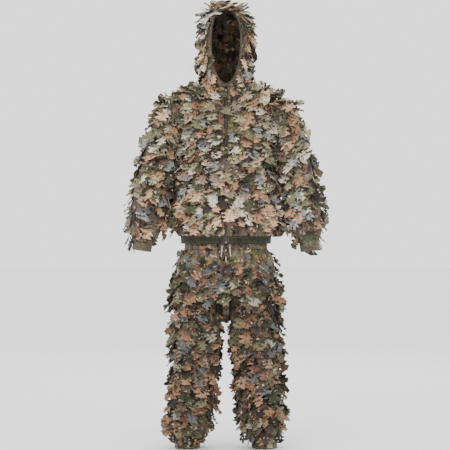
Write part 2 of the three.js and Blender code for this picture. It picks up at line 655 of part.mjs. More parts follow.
// A short strap on the inside of the neck band, by which the jacket hangs on a hook.
function hangerLoop() {
  const sewnAt = NECK_BACK - NECK_SET - TAPE - LOOP_SET - SEAM;
  const half = LOOP / 2;
  const foot = NECK - LOOP_FOOT;
  const bend = foot + LOOP_RISE / 2;
  const curve = new THREE.CatmullRomCurve3([
    new THREE.Vector3(-half, sewnAt, foot),
    new THREE.Vector3(-half * 0.8, sewnAt - 2, bend),
    new THREE.Vector3(0, sewnAt - LOOP_STAND, foot + LOOP_RISE),
    new THREE.Vector3(half * 0.8, sewnAt - 2, bend),
    new THREE.Vector3(half, sewnAt, foot),
  ]);
  const section = new THREE.Shape([
    new THREE.Vector2(-STRAP / 2, -STRAP_WIDTH / 2),
    new THREE.Vector2(STRAP / 2, -STRAP_WIDTH / 2),
    new THREE.Vector2(STRAP / 2, STRAP_WIDTH / 2),
    new THREE.Vector2(-STRAP / 2, STRAP_WIDTH / 2),
  ]);
  return solid(new THREE.ExtrudeGeometry(section, { steps: 14, extrudePath: curve, bevelEnabled: false }));
}

// The front of the jacket is one straight line from hem to neck, so the slider can run along it.
const ZIP_LEAN = Math.atan2(FRONT_AT_NECK - FRONT_AT_HEM, NECK - HEM);
const ZIP_BOTTOM = HEM + 4;
const ZIP_TOP = NECK - 4;
const zipLine = new THREE.Matrix4()
  .makeTranslation(0, jacketFront(ZIP_BOTTOM), ZIP_BOTTOM)
  .multiply(new THREE.Matrix4().makeRotationX(-ZIP_LEAN));
const ZIP_LENGTH = (ZIP_TOP - ZIP_BOTTOM) / Math.cos(ZIP_LEAN);
const TAPE_FACE = CLOTH + TAPE_SET; // the tape's outer face, in from the jacket's outer face
const ZIP_BOX = 7;
const TEETH_TOP = ZIP_LENGTH - 4;

// A box in the zip's own frame: across, in from the jacket's face, and up from the zip's bottom.
function zipBlock([x0, x1], [y0, y1], [z0, z1]) {
  const box = new THREE.BoxGeometry(x1 - x0, y1 - y0, z1 - z0);
  box.translate((x0 + x1) / 2, (y0 + y1) / 2, (z0 + z1) / 2).applyMatrix4(zipLine);
  return solid(box);
}

function zipParts() {
  for (const side of [1, -1]) {
    const across = (a, b) => (side > 0 ? [a, b] : [-b, -a]);
    const chainDepth = [TAPE_FACE - CHAIN, TAPE_FACE + TAPE / 2];
    const stopDepth = [TAPE_FACE - CHAIN - 0.6, TAPE_FACE + TAPE / 2];
    const tape = zipBlock(across(SEAM / 2, TAPE_WIDTH), [TAPE_FACE, TAPE_FACE + TAPE], [0, ZIP_LENGTH]);
    const teeth = zipBlock(across(SEAM / 2, CHAIN), chainDepth, [ZIP_BOX + 1, TEETH_TOP]);
    const stop = zipBlock(across(SEAM / 2, CHAIN + 1.4), stopDepth, [TEETH_TOP, TEETH_TOP + 3]);
    piece(`zip_tape_${sideName(side)}`, tape.add(teeth).add(stop), tapeCloth);
  }
  // The box at the zip's foot holds the ends of both rows of teeth.
  const half = CHAIN + 2;
  const box = zipBlock([-half, half], [TAPE_FACE - CHAIN - 1.4, TAPE_FACE - SEAM], [-1, ZIP_BOX]);
  piece("zip_box", box, gunmetal);
}

// The slider straddles the teeth just under the top stops, and its pull hangs from a pin.
const SLIDER_TOP = TEETH_TOP - SEAM - 2;
const PIN_UP = SLIDER_TOP - SLIDER_LENGTH * 0.35;
const SLIDER_FACE = TAPE_FACE - CHAIN - SEAM - SLIDER_WALL;
const PIN_IN = SLIDER_FACE - 2.6;
const EAR = 1.2;
const EAR_GAP = PULL_WIDTH / 4 + SEAM; // half the room between the two ears

function zipSlider() {
  const half = CHAIN + SEAM + SLIDER_WALL;
  const span = [SLIDER_TOP - SLIDER_LENGTH, SLIDER_TOP];
  let slider = zipBlock([-half, half], [SLIDER_FACE, SLIDER_FACE + SLIDER_WALL], span);
  for (const side of [1, -1]) {
    const flange = side > 0 ? [half - SLIDER_WALL, half] : [-half, SLIDER_WALL - half];
    slider = slider.add(zipBlock(flange, [SLIDER_FACE, TAPE_FACE - SEAM], span));
    const ear = side > 0 ? [EAR_GAP, EAR_GAP + EAR] : [-EAR_GAP - EAR, -EAR_GAP];
    const earDepth = [PIN_IN - 1.6, SLIDER_FACE + SLIDER_WALL / 2];
    slider = slider.add(zipBlock(ear, earDepth, [PIN_UP - 2.2, PIN_UP + 2.2]));
  }
  const pin = new THREE.CylinderGeometry(PIN, PIN, 2 * EAR_GAP + EAR, 12);
  pin.rotateZ(Math.PI / 2).translate(0, PIN_IN, PIN_UP).applyMatrix4(zipLine);
  piece("zip_slider", slider.add(solid(pin)), gunmetal);
  const neckHalf = PULL_WIDTH / 4;
  const eye = new THREE.CylinderGeometry(PIN + 1.3, PIN + 1.3, 2 * neckHalf, 14);
  eye.rotateZ(Math.PI / 2).translate(0, PIN_IN, PIN_UP).applyMatrix4(zipLine);
  const hole = new THREE.CylinderGeometry(PIN + SEAM, PIN + SEAM, PULL_WIDTH, 14);
  hole.rotateZ(Math.PI / 2).translate(0, PIN_IN, PIN_UP).applyMatrix4(zipLine);
  const plateIn = [PIN_IN - PULL / 2, PIN_IN + PULL / 2];
  const pull = zipBlock([-neckHalf, neckHalf], plateIn, [PIN_UP - 7, PIN_UP])
    .add(zipBlock([-PULL_WIDTH / 2, PULL_WIDTH / 2], plateIn, [PIN_UP - PULL_LENGTH, PIN_UP - 6]))
    .add(solid(eye))
    .subtract(solid(hole));
  piece("zip_pull", pull, gunmetal);
}

function sleevePanels(side) {
  const name = sideName(side);
  const upper = sleeveSections(side);
  const lower = forearmSections(side);
  const lean = { leaning: true };
  const shoulder = {
    pivot: new THREE.Vector3(side * SHOULDER[0], 0, SHOULDER[1]),
    down: DOWN,
    bendTo: new THREE.Vector3(side, 0, 0),
  };
  const alongArm = new THREE.Vector3(side * (FOREARM[0] - ARMPIT[0]), 0, FOREARM[1] - ARMPIT[1]).normalize();
  const elbow = { pivot: new THREE.Vector3(side * ELBOW[0], 0, ELBOW[1]), down: alongArm, bendTo: FORWARD };
  const rise = riseFor(SLEEVE, ELBOW_BEND);
  const upperShell = hollowLimb(upper, lean)
    .subtract(domeHole(shoulder, SLEEVE_HEAD, ...SHOULDER_HOLE))
    .intersect(jointEnd(elbow, SLEEVE, rise));
  piece(`upper_sleeve_front_${name}`, upperShell.intersect(front()), leafCloth);
  piece(`upper_sleeve_back_${name}`, upperShell.intersect(back()), leafCloth);
  const lowerShell = hollowLimb(lower, lean)
    .subtract(nestedHole(elbow, lower[0].width, ELBOW_BEND, rise))
    .add(edgeTack(elbow, lower[0].depth, SLEEVE));
  piece(`lower_sleeve_front_${name}`, lowerShell.intersect(front()), leafCloth);
  piece(`lower_sleeve_back_${name}`, lowerShell.intersect(back()), leafCloth);
  const cuff = cuffSections(side);
  piece(`wrist_cuff_${name}`, wall(cuff, lean, 0, CLOTH), cuffCloth);
  piece(`wrist_elastic_${name}`, wall(partOf(cuff, 0.2, 0.8), lean, CLOTH + SEAM, BAND), elastic);
}

jacketBody();
zipParts();
zipSlider();
for (const side of [1, -1]) sleevePanels(side);

// ---- Hood ----

// The edge of the face opening, seen from the front: a tall egg, wider at the brow than at the chin.
function faceOutline(grow) {
  const top = FACE_TOP + grow;
  const low = FACE_BOTTOM - grow;
  const half = FACE_WIDTH + grow;
  const mid = low + 0.56 * (top - low);
  const shape = new THREE.Shape();
  shape.moveTo(0, low);
  shape.bezierCurveTo(half * 0.5, low, half * 0.98, low + 0.22 * (top - low), half, mid);
  shape.bezierCurveTo(half * 1.02, top - 0.12 * (top - low), half * 0.62, top, 0, top);
  shape.bezierCurveTo(-half * 0.62, top, -half * 1.02, top - 0.12 * (top - low), -half, mid);
  shape.bezierCurveTo(-half * 0.98, low + 0.22 * (top - low), -half * 0.5, low, 0, low);
  return shape;
}

// The outline as a prism that runs forwards from inside the hood.
function facePrism(grow) {
  const options = { depth: 2 * -HOOD_FRONT, bevelEnabled: false, curveSegments: 7 };
  const prism = new THREE.ExtrudeGeometry(faceOutline(grow), options);
  return solid(prism.rotateX(Math.PI / 2).translate(0, -30, 0));
}

// The wall of the hood, which is closed at its top.
function hoodWall(outset, thickness) {
  const [top, ...rest] = hood;
  const lowered = [{ ...top, z: top.z + outset - thickness }, ...rest];
  const inner = loft(lowered, { ...body, grow: outset - thickness, overrun: [0, 4 * CLOTH] });
  return loft(hood, { ...body, grow: outset }).subtract(inner);
}

function hoodPanels() {
  const shell = hoodWall(0, CLOTH).subtract(facePrism(FACE_HEM + SEAM));
  const crown = block([-CROWN_STRIP, CROWN_STRIP], [-FAR, FAR], [CROWN_LOW, FAR]).add(
    block([-CROWN_STRIP, CROWN_STRIP], [0, FAR], [-FAR, FAR]),
  );
  piece("hood_crown", shell.intersect(crown), leafCloth);
  const sides = shell.subtract(
    block([-CROWN_STRIP - SEAM, CROWN_STRIP + SEAM], [-FAR, FAR], [CROWN_LOW - SEAM, FAR]).add(
      block([-CROWN_STRIP - SEAM, CROWN_STRIP + SEAM], [-SEAM, FAR], [-FAR, FAR]),
    ),
  );
  for (const side of [1, -1]) {
    piece(`hood_side_${sideName(side)}`, sides.intersect(sideOf(side, SEAM / 2)), leafCloth);
  }
  const casing = hoodWall(SEAM, CLOTH + 4 * SEAM);
  piece("hood_face_hem", casing.intersect(facePrism(FACE_HEM).subtract(facePrism(0))), cuffCloth);
}

hoodPanels();

export default suit;
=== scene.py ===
"""The looks of a leaf-covered camouflage suit: printed cloth, sewn-on leaf flaps, bands, zip and cords.

Heights in the section tables are above the ankle hems. The frame's origin is the waist opening, so every
point is lowered by WAIST. The wearer faces -Y, and the wearer's left is at +X.
"""

import math

import bmesh
import bpy
import numpy as np
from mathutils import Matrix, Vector, noise


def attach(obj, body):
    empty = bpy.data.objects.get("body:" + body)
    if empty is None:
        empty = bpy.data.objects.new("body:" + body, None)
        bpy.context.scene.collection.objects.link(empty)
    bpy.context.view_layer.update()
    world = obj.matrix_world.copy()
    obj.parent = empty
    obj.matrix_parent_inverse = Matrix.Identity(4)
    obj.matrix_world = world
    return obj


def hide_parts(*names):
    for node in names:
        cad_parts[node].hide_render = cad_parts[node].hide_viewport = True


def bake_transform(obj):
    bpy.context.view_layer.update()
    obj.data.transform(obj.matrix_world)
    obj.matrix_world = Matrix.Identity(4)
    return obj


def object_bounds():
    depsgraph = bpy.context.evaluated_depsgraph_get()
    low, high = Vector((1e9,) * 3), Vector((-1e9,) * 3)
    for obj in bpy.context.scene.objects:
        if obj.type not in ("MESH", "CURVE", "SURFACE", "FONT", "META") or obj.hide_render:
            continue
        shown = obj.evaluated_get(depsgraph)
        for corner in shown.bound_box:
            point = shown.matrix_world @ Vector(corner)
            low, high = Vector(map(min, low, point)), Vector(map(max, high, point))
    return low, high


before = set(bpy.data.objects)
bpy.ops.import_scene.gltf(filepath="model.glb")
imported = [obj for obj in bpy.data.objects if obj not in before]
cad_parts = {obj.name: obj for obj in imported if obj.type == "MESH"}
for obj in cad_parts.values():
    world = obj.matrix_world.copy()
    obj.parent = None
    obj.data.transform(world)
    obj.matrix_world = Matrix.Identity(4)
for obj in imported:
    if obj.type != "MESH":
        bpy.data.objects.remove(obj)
cad_low, cad_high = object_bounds()

WAIST = 0.905
CLOTH = 0.0012
BODY_POWER = 2.4  # a body section is a little squarer than an ellipse
LEFT, RIGHT = 1, -1
FLOOR = -WAIST - 0.001


def side_name(side):
    return "left" if side == LEFT else "right"


# ---------------------------------------------------------------- camera

VIEW_WIDTH = 1.9125  # metres across the picture at the suit
VIEW_DISTANCE = 7.0
VIEW_CENTRE = (-0.004, -0.05, 0.0475)
SENSOR = 36.0


def make_camera():
    data = bpy.data.cameras.new("camera")
    data.sensor_width = SENSOR
    data.lens = SENSOR * VIEW_DISTANCE / VIEW_WIDTH
    data.clip_end = 100
    camera = bpy.data.objects.new("camera", data)
    x, y, z = VIEW_CENTRE
    camera.location = (x, y - VIEW_DISTANCE, z)
    camera.rotation_euler = (math.pi / 2, 0, 0)
    bpy.context.scene.collection.objects.link(camera)
    bpy.context.scene.camera = camera


make_camera()

# ---------------------------------------------------------------- node helpers


def socket_named(sockets, name):
    """The socket of that name that the node uses as it is set."""
    return next(s for s in sockets if s.name == name and s.enabled)


class Recipe:
    """Adds nodes to a tree. Inputs are given by name, as a value or as another node's output."""

    def __init__(self, tree):
        self.tree = tree

    def add(self, kind, values=None, out=0, **settings):
        made = self.tree.nodes.new(kind)
        for key, value in settings.items():
            setattr(made, key, value)
        for key, value in (values or {}).items():
            target = made.inputs[key] if isinstance(key, int) else socket_named(made.inputs, key)
            if isinstance(value, bpy.types.NodeSocket):
                self.tree.links.new(value, target)
            else:
                target.default_value = value
        if out is None:
            return made
        return made.outputs[out] if isinstance(out, int) else socket_named(made.outputs, out)

    def math(self, operation, a, b=0.0, clamp=False):
        return self.add("ShaderNodeMath", {0: a, 1: b}, operation=operation, use_clamp=clamp)

    def mix(self, factor, a, b, blend="MIX"):
        made = self.tree.nodes.new("ShaderNodeMix")
        made.data_type, made.blend_type = "RGBA", blend
        for index, value in ((0, factor), (6, a), (7, b)):
            if isinstance(value, bpy.types.NodeSocket):
                self.tree.links.new(value, made.inputs[index])
            else:
                made.inputs[index].default_value = value
        return made.outputs[2]

    def ramp(self, factor, stops, interpolation="LINEAR"):
        made = self.tree.nodes.new("ShaderNodeValToRGB")
        band = made.color_ramp
        band.interpolation = interpolation
        while len(band.elements) < len(stops):
            band.elements.new(0.5)
        for element, (place, colour) in zip(band.elements, stops):
            element.position = place
            element.color = colour
        self.tree.links.new(factor, made.inputs[0])
        return made.outputs[0]

    def noise(self, vector, scale, detail=3.0, roughness=0.55, distortion=0.0):
        values = {"Vector": vector, "Scale": scale, "Detail": detail}
        values.update({"Roughness": roughness, "Distortion": distortion})
        return self.add("ShaderNodeTexNoise", values, out="Fac")

    def stretched(self, vector, scale):
        return self.add("ShaderNodeMapping", {"Vector": vector, "Scale": scale})


def colour(code):
    """A linear colour from a six-figure code as seen on screen."""
    parts = [int(code[i : i + 2], 16) / 255 for i in (0, 2, 4)]
    return tuple(p / 12.92 if p <= 0.04045 else ((p + 0.055) / 1.055) ** 2.4 for p in parts) + (1.0,)


def new_material(name, roughness, metallic=0.0, sheen=0.0, specular=0.5):
    """A material's recipe and its shader. What is the same all over is set on the shader itself."""
    material = bpy.data.materials.new(name)
    material.use_nodes = True
    shader = material.node_tree.nodes["Principled BSDF"]
    shader.inputs["Roughness"].default_value = roughness
    shader.inputs["Metallic"].default_value = metallic
    shader.inputs["Sheen Weight"].default_value = sheen
    shader.inputs["Specular IOR Level"].default_value = specular
    return material, Recipe(material.node_tree), shader


def object_place(recipe):
    return recipe.add("ShaderNodeTexCoord", out="Object")


def set_colour(recipe, shader, tint):
    recipe.tree.links.new(tint, shader.inputs["Base Color"])


def set_bump(recipe, shader, height, strength, distance):
    values = {"Height": height, "Strength": strength, "Distance": distance}
    recipe.tree.links.new(recipe.add("ShaderNodeBump", values, out="Normal"), shader.inputs["Normal"])


def weave(recipe, place, threads):
    """Two crossed sets of fine threads, as a height from 0 to 1."""
    turned = recipe.add("ShaderNodeMapping", {"Vector": place, "Rotation": (0.5, 0.4, 0.78)})
    warp = recipe.add("ShaderNodeTexWave", {"Vector": turned, "Scale": threads, "Distortion": 1.5}, out="Fac")
    settings = {"Vector": turned, "Scale": threads, "Distortion": 1.5}
    weft = recipe.add("ShaderNodeTexWave", settings, out="Fac", bands_direction="Z")
    return recipe.math("MULTIPLY", warp, weft)


# ---------------------------------------------------------------- printed cloth

BARK = [
    (0.3, colour("17130f")),
    (0.42, colour("3d3029")),
    (0.5, colour("65504a")),
    (0.6, colour("7d6c62")),
    (0.74, colour("a0968a")),
]
# Patches of the print: pattern size, how much of the noise they take, and their colour.
PATCHES = [
    (17.0, 0.55, colour("565c36")),
    (21.0, 0.56, colour("9a6f52")),
    (19.0, 0.59, colour("6d7072")),
    (27.0, 0.58, colour("8c8459")),
    (33.0, 0.57, colour("1b1813")),
    (42.0, 0.61, colour("d6bf9f")),
]


def grey(value):
    return (value, value, value, 1.0)


def patched(recipe, place, base, patches):
    """Ragged patches of colour over a base, each from its own part of a noise."""
    for number, (size, least, tint) in enumerate(patches):
        away = (number * 1.7, 0.0, number * 2.3)
        shifted = recipe.add("ShaderNodeMapping", {"Vector": place, "Location": away})
        field = recipe.noise(shifted, size, 5.0, 0.68, 0.5)
        inside = recipe.ramp(field, [(least, grey(0.0)), (least + 0.025, grey(1.0))])
        base = recipe.mix(inside, base, tint)
    return base


def printed_cloth(name, shade):
    """Cloth printed with bark, fallen leaves and twigs. Shade darkens the whole print."""
    material, recipe, shader = new_material(name, roughness=0.88, sheen=0.1, specular=0.2)
    place = object_place(recipe)
    bark = recipe.noise(recipe.stretched(place, (1.0, 1.0, 0.4)), 30.0, 6.0, 0.7, 0.8)
    tint = patched(recipe, place, recipe.ramp(bark, BARK), PATCHES)
    grain = recipe.noise(place, 170.0, 4.0, 0.7)
    speckle = recipe.ramp(grain, [(0.32, grey(0.4)), (0.68, grey(1.5))])
    tint = recipe.mix(0.6, tint, speckle, "MULTIPLY")
    tint = recipe.mix(1.0, tint, grey(shade), "MULTIPLY")
    set_colour(recipe, shader, tint)
    height = recipe.math("ADD", weave(recipe, place, 900.0), recipe.math("MULTIPLY", grain, 0.6))
    set_bump(recipe, shader, height, 0.35, 0.0008)
    return material


def band_cloth(name, base, other):
    """The close-woven printed cloth of cuffs and bands."""
    material, recipe, shader = new_material(name, roughness=0.9, sheen=0.2, specular=0.2)
    place = object_place(recipe)
    blotch = recipe.noise(place, 22.0, 4.0, 0.6, 0.8)
    fleck = recipe.noise(place, 130.0, 3.0)
    tint = recipe.ramp(blotch, [(0.38, base), (0.5, other), (0.62, base)])
    speckle = recipe.ramp(fleck, [(0.35, grey(0.3)), (0.65, grey(1.5))])
    tint = recipe.mix(0.45, tint, speckle, "MULTIPLY")
    set_colour(recipe, shader, tint)
    set_bump(recipe, shader, weave(recipe, place, 700.0), 0.4, 0.0008)
    return material


# ---------------------------------------------------------------- leaf flaps

JACKET_TONES = [
    (0.0, colour("c8a07e")),
    (0.1, colour("a8805f")),
    (0.2, colour("dcb592")),
    (0.3, colour("d8cdb6")),
    (0.39, colour("8f908f")),
    (0.49, colour("a39d7a")),
    (0.6, colour("777456")),
    (0.69, colour("4b4d38")),
    (0.77, colour("8d7a6a")),
    (0.86, colour("5f4d44")),
    (0.94, colour("322b26")),
]
TROUSER_TONES = [
    (0.0, colour("a67a5a")),
    (0.1, colour("7d5b46")),
    (0.19, colour("b78e6e")),
    (0.25, colour("a59c8a")),
    (0.32, colour("6e7072")),
    (0.43, colour("827c5d")),
    (0.53, colour("5c5b41")),
    (0.63, colour("3b3e2c")),
    (0.72, colour("685748")),
    (0.81, colour("4c3d36")),
    (0.91, colour("2a2420")),
]
FLAP_PATCHES = [
    (24.0, 0.60, colour("4b4f31")),
    (26.0, 0.61, colour("ae8261")),
    (30.0, 0.62, colour("6f7173")),
    (40.0, 0.565, colour("1a1612")),
    (50.0, 0.615, colour("e2d2b8")),
]


def leaf_print(name, tones, shade):
    """Flaps cut from printed cloth: each has its own tone, its own part of the print, and veins, and painted
    shade towards its stalk.
    """
    material, recipe, shader = new_material(name, roughness=0.82, sheen=0.08, specular=0.25)
    place = object_place(recipe)
    tone = recipe.add("ShaderNodeAttribute", out="Fac", attribute_name="tone")
    own = recipe.ramp(tone, tones, "CONSTANT")
    apart = recipe.add("ShaderNodeCombineXYZ", {"X": recipe.math("MULTIPLY", tone, 37.0), "Y": tone})
    part = recipe.add("ShaderNodeVectorMath", {0: place, 1: apart}, operation="ADD")
    tint = patched(recipe, part, own, FLAP_PATCHES)
    grain = recipe.noise(place, 210.0, 4.0, 0.75)
    worn = recipe.ramp(grain, [(0.3, grey(0.3)), (0.5, grey(1.0)), (0.72, grey(1.5))])
    tint = recipe.mix(0.7, tint, worn, "MULTIPLY")
    across = recipe.add("ShaderNodeUVMap", out=0, uv_map="leaf_uv")
    parts = recipe.add("ShaderNodeSeparateXYZ", {"Vector": across}, out=None)
    off = recipe.math("ABSOLUTE", recipe.math("SUBTRACT", parts.outputs["X"], 0.5))
    up = recipe.math("MULTIPLY", parts.outputs["Y"], 5.0)
    ribs = recipe.math("SUBTRACT", up, recipe.math("MULTIPLY", off, 3.4))
    side_vein = recipe.math("LESS_THAN", recipe.math("FRACT", ribs), 0.13)
    midrib = recipe.math("LESS_THAN", off, 0.028)
    veins = recipe.math("MAXIMUM", midrib, recipe.math("MULTIPLY", side_vein, 0.55))
    tint = recipe.mix(recipe.math("MULTIPLY", veins, 0.45), tint, colour("3a2e24"))
    # Painted shade: each flap darkens towards its stalk, where the row of flaps above and the cloth beneath
    # shade its base.
    stalk = recipe.ramp(parts.outputs["Y"], [(0.0, grey(0.18)), (0.5, grey(1.0))])
    tint = recipe.mix(1.0, tint, stalk, "MULTIPLY")
    tint = recipe.mix(1.0, tint, grey(shade), "MULTIPLY")
    set_colour(recipe, shader, tint)
    height = recipe.math("SUBTRACT", recipe.math("MULTIPLY", grain, 0.5), veins)
    set_bump(recipe, shader, height, 0.5, 0.0006)
    return material


# ---------------------------------------------------------------- trim materials


def tape_cloth(name, base):
    """Narrow woven tape with ribs across it."""
    material, recipe, shader = new_material(name, roughness=0.85, sheen=0.1, specular=0.25)
    place = object_place(recipe)
    ribs = recipe.add("ShaderNodeTexWave", {"Vector": place, "Scale": 260.0}, out="Fac", bands_direction="Z")
    fleck = recipe.noise(place, 240.0, 3.0)
    paler = (base[0] * 2.4, base[1] * 2.3, base[2] * 2.2, 1.0)
    tint = recipe.mix(recipe.math("MULTIPLY", fleck, 0.7), base, paler)
    set_colour(recipe, shader, tint)
    set_bump(recipe, shader, recipe.math("ADD", ribs, fleck), 0.4, 0.0005)
    return material


def braided_cord(name):
    """Round braid: two crossed sets of strands along the cord, by the cord's own lengths, with painted shade
    in the grooves between the strands.
    """
    material, recipe, shader = new_material(name, roughness=0.7, sheen=0.1, specular=0.3)
    along = recipe.add("ShaderNodeUVMap", out=0, uv_map="cord_uv")
    strands = []
    for lean in (0.7, -0.7):
        turned = recipe.add("ShaderNodeMapping", {"Vector": along, "Rotation": (0.0, 0.0, lean)})
        values = {"Vector": turned, "Scale": 1.6}
        strands.append(recipe.add("ShaderNodeTexWave", values, out="Fac"))
    braid = recipe.math("MAXIMUM", *strands)
    # Painted shade: the grooves between the strands are darker, from the same heights that give the bump; the
    # strands keep the cord's pale colour.
    set_colour(recipe, shader, recipe.ramp(braid, [(0.2, colour("6f6a5c")), (0.75, colour("cfc9b9"))]))
    set_bump(recipe, shader, braid, 0.7, 0.0006)
    return material


def worn_metal(name):
    """Gunmetal with rubbed, brighter patches and fine scratches."""
    material, recipe, shader = new_material(name, roughness=0.38, metallic=0.9)
    place = object_place(recipe)
    rub = recipe.noise(place, 320.0, 4.0)
    tint = recipe.ramp(rub, [(0.35, colour("4d4841")), (0.6, colour("8b8377")), (0.75, colour("b8b0a2"))])
    set_colour(recipe, shader, tint)
    rough = recipe.ramp(rub, [(0.3, grey(0.5)), (0.7, grey(0.28))])
    recipe.tree.links.new(rough, shader.inputs["Roughness"])
    set_bump(recipe, shader, rub, 0.2, 0.0003)
    return material


JACKET_CLOTH = printed_cloth("jacket_print", 0.6)
TROUSER_CLOTH = printed_cloth("trouser_print", 0.62)
CUFF_CLOTH = band_cloth("cuff_print", colour("50533a"), colour("5f4f43"))
# The hem band's colours are its own dark olive print, darkened with painted shade for the shade under the
# jacket's overhanging leaves.
HEM_PRINT_AND_PAINTED_SHADE = band_cloth("hem_print", colour("272b1d"), colour("1f1c16"))
HEM_TRIM = band_cloth("hood_hem_print", colour("4a3831"), colour("353a26"))
JACKET_LEAF = leaf_print("jacket_leaf_print", JACKET_TONES, 0.92)
TROUSER_LEAF = leaf_print("trouser_leaf_print", TROUSER_TONES, 0.72)
TAPE = tape_cloth("zip_tape_weave", colour("2c2a27"))
ELASTIC = tape_cloth("elastic_weave", colour("26241f"))
THREAD = tape_cloth("stitch_thread", colour("7a6f5a"))
CORD = braided_cord("drawcord_braid")
METAL = worn_metal("gunmetal_worn")

# ---------------------------------------------------------------- surfaces


def smoothstep(value, low, high):
    t = np.clip((value - low) / (high - low), 0.0, 1.0)
    return t * t * (3 - 2 * t)


def lengths_along(points):
    """How far each point lies along a line of points."""
    return np.concatenate([[0], np.cumsum(np.linalg.norm(np.diff(points, axis=0), axis=1))])


def directions_along(points):
    """The unit direction of a line of points at each of them."""
    run = np.gradient(points, axis=0)
    return run / np.linalg.norm(run, axis=1)[:, None]


def curve_through(points, shares):
    """Points of a smooth curve through the given ones, at shares of its way."""
    points = np.asarray(points, float)
    ends = np.vstack([2 * points[0] - points[1], points, 2 * points[-1] - points[-2]])
    at = np.clip(shares, 0, 1) * (len(points) - 1)
    i = np.minimum(at.astype(int), len(points) - 2)
    t = (at - i)[:, None]
    p0, p1, p2, p3 = (ends[i + k] for k in range(4))
    bend = (-p0 + p2) * t + (2 * p0 - 5 * p1 + 4 * p2 - p3) * t**2 + (-p0 + 3 * p1 - 3 * p2 + p3) * t**3
    return p1 + 0.5 * bend


def even_rings(sections, rings):
    """Rows of x, y, height, half width and half depth, evenly spaced down a lofted surface."""
    fine = curve_through(sections, np.linspace(0, 1, 600))
    way = lengths_along(fine)
    even = np.linspace(0, way[-1], rings)
    return np.stack([np.interp(even, way, fine[:, k]) for k in range(5)], axis=1)


def section_at(rows, height):
    """Half width, half depth and middle of a body's section at a height, from rows listed top down."""
    rows = np.array(rows)[::-1]
    return [np.interp(height, rows[:, 2], rows[:, k]) for k in (3, 4, 1)]


def front_at(rows, x, height):
    """Where a body's front face stands, over a place seen from the front."""
    width, depth, middle = section_at(rows, height)
    return middle - depth * (1 - min(1.0, abs(x) / width) ** BODY_POWER) ** (1 / BODY_POWER)


class Surface:
    """A lofted sheet of points: rows from the top down, columns round from the front towards +X."""

    def __init__(self, sections, step, arc=(0.0, 2 * math.pi), power=2.0, leaning=False):
        sections = np.asarray(sections, float)
        length = np.linalg.norm(np.diff(sections[:, [0, 1, 2, 3]], axis=0), axis=1).sum()
        girth = (sections[:, 3].max() + sections[:, 4].max()) / 2 * (arc[1] - arc[0])
        self.rings = max(3, round(length / step) + 1)
        columns = max(4, round(girth / step))
        self.round = arc[1] - arc[0] > 2 * math.pi - 1e-6
        rows = even_rings(sections, self.rings)
        angles = np.linspace(arc[0], arc[1], columns + (1 if self.round else 0))
        self.angles = angles[:-1] if self.round else angles
        run = directions_along(rows[:, :3])
        level = np.tile([1.0, 0.0, 0.0], (self.rings, 1))
        tilted = np.stack([-run[:, 2], np.zeros(self.rings), run[:, 0]], axis=1)
        tilted /= np.maximum(np.linalg.norm(tilted, axis=1), 1e-9)[:, None]
        across = tilted if leaning else level
        bulge = lambda v: np.sign(v) * np.abs(v) ** (2 / power)
        wide = bulge(np.sin(self.angles))[None, :] * rows[:, 3][:, None]
        deep = bulge(np.cos(self.angles))[None, :] * rows[:, 4][:, None]
        self.points = rows[:, None, :3] + wide[:, :, None] * across[:, None, :]
        self.points[:, :, 1] -= deep
        self.points[:, :, 2] -= WAIST
        self.refresh()

    @classmethod
    def through(cls, points):
        """An open sheet of rows of points, as they are."""
        made = cls.__new__(cls)
        made.points, made.rings, made.round = points, len(points), False
        made.refresh()
        return made

    def refresh(self):
        """Outward normals and the direction down the cloth, from the points as they are."""
        if self.round:
            ahead, behind = np.roll(self.points, -1, axis=1), np.roll(self.points, 1, axis=1)
            across = ahead - behind
        else:
            across = np.gradient(self.points, axis=1)
        down = np.gradient(self.points, axis=0)
        out = np.cross(down, across)
        self.normals = out / np.maximum(np.linalg.norm(out, axis=2), 1e-9)[:, :, None]
        self.down = down / np.maximum(np.linalg.norm(down, axis=2), 1e-9)[:, :, None]

    def push(self, amount):
        """Moves the points out along their normals."""
        self.points = self.points + self.normals * np.asarray(amount)[:, :, None]
        self.refresh()

    def wrinkle(self, height, size, stretch=(1.0, 1.0, 1.0), seed=0.0, fade=None):
        """Soft folds of a height and a size, drawn out along an axis where stretch is small."""
        scale = np.array(stretch) / size
        shift = np.array([seed, seed * 0.37, -seed])
        flat = self.points.reshape(-1, 3) * scale + shift
        heights = np.array([noise.noise(Vector(p)) for p in flat]).reshape(self.points.shape[:2])
        if fade is not None:
            heights = heights * fade
        self.push(heights * height)

    def sample(self, row, column):
        """Place, normal and down direction between the grid's points."""
        found = []
        i, j = int(row), int(column)
        u, v = row - i, column - j
        wrap = self.points.shape[1]
        i2 = min(i + 1, self.rings - 1)
        j2 = (j + 1) % wrap if self.round else min(j + 1, wrap - 1)
        for grid in (self.points, self.normals, self.down):
            top = grid[i, j] * (1 - v) + grid[i, j2] * v
            low = grid[i2, j] * (1 - v) + grid[i2, j2] * v
            found.append(top * (1 - u) + low * u)
        return found


def mesh_of(name, build):
    """The finished mesh of what was built."""
    mesh = bpy.data.meshes.new(name)
    build.to_mesh(mesh)
    build.free()
    return mesh


def link(name, mesh, material=None):
    made = bpy.data.objects.new(name, mesh)
    bpy.context.scene.collection.objects.link(made)
    if material is not None:
        made.data.materials.clear()
        made.data.materials.append(material)
    return made


def baked(obj):
    """The object with its modifiers made into a plain mesh."""
    graph = bpy.context.evaluated_depsgraph_get()
    graph.update()
    mesh = bpy.data.meshes.new_from_object(obj.evaluated_get(graph))
    obj.modifiers.clear()
    old = obj.data
    obj.data = mesh
    bpy.data.meshes.remove(old)
    return obj


def smooth(obj):
    obj.data.polygons.foreach_set("use_smooth", [True] * len(obj.data.polygons))
    return obj


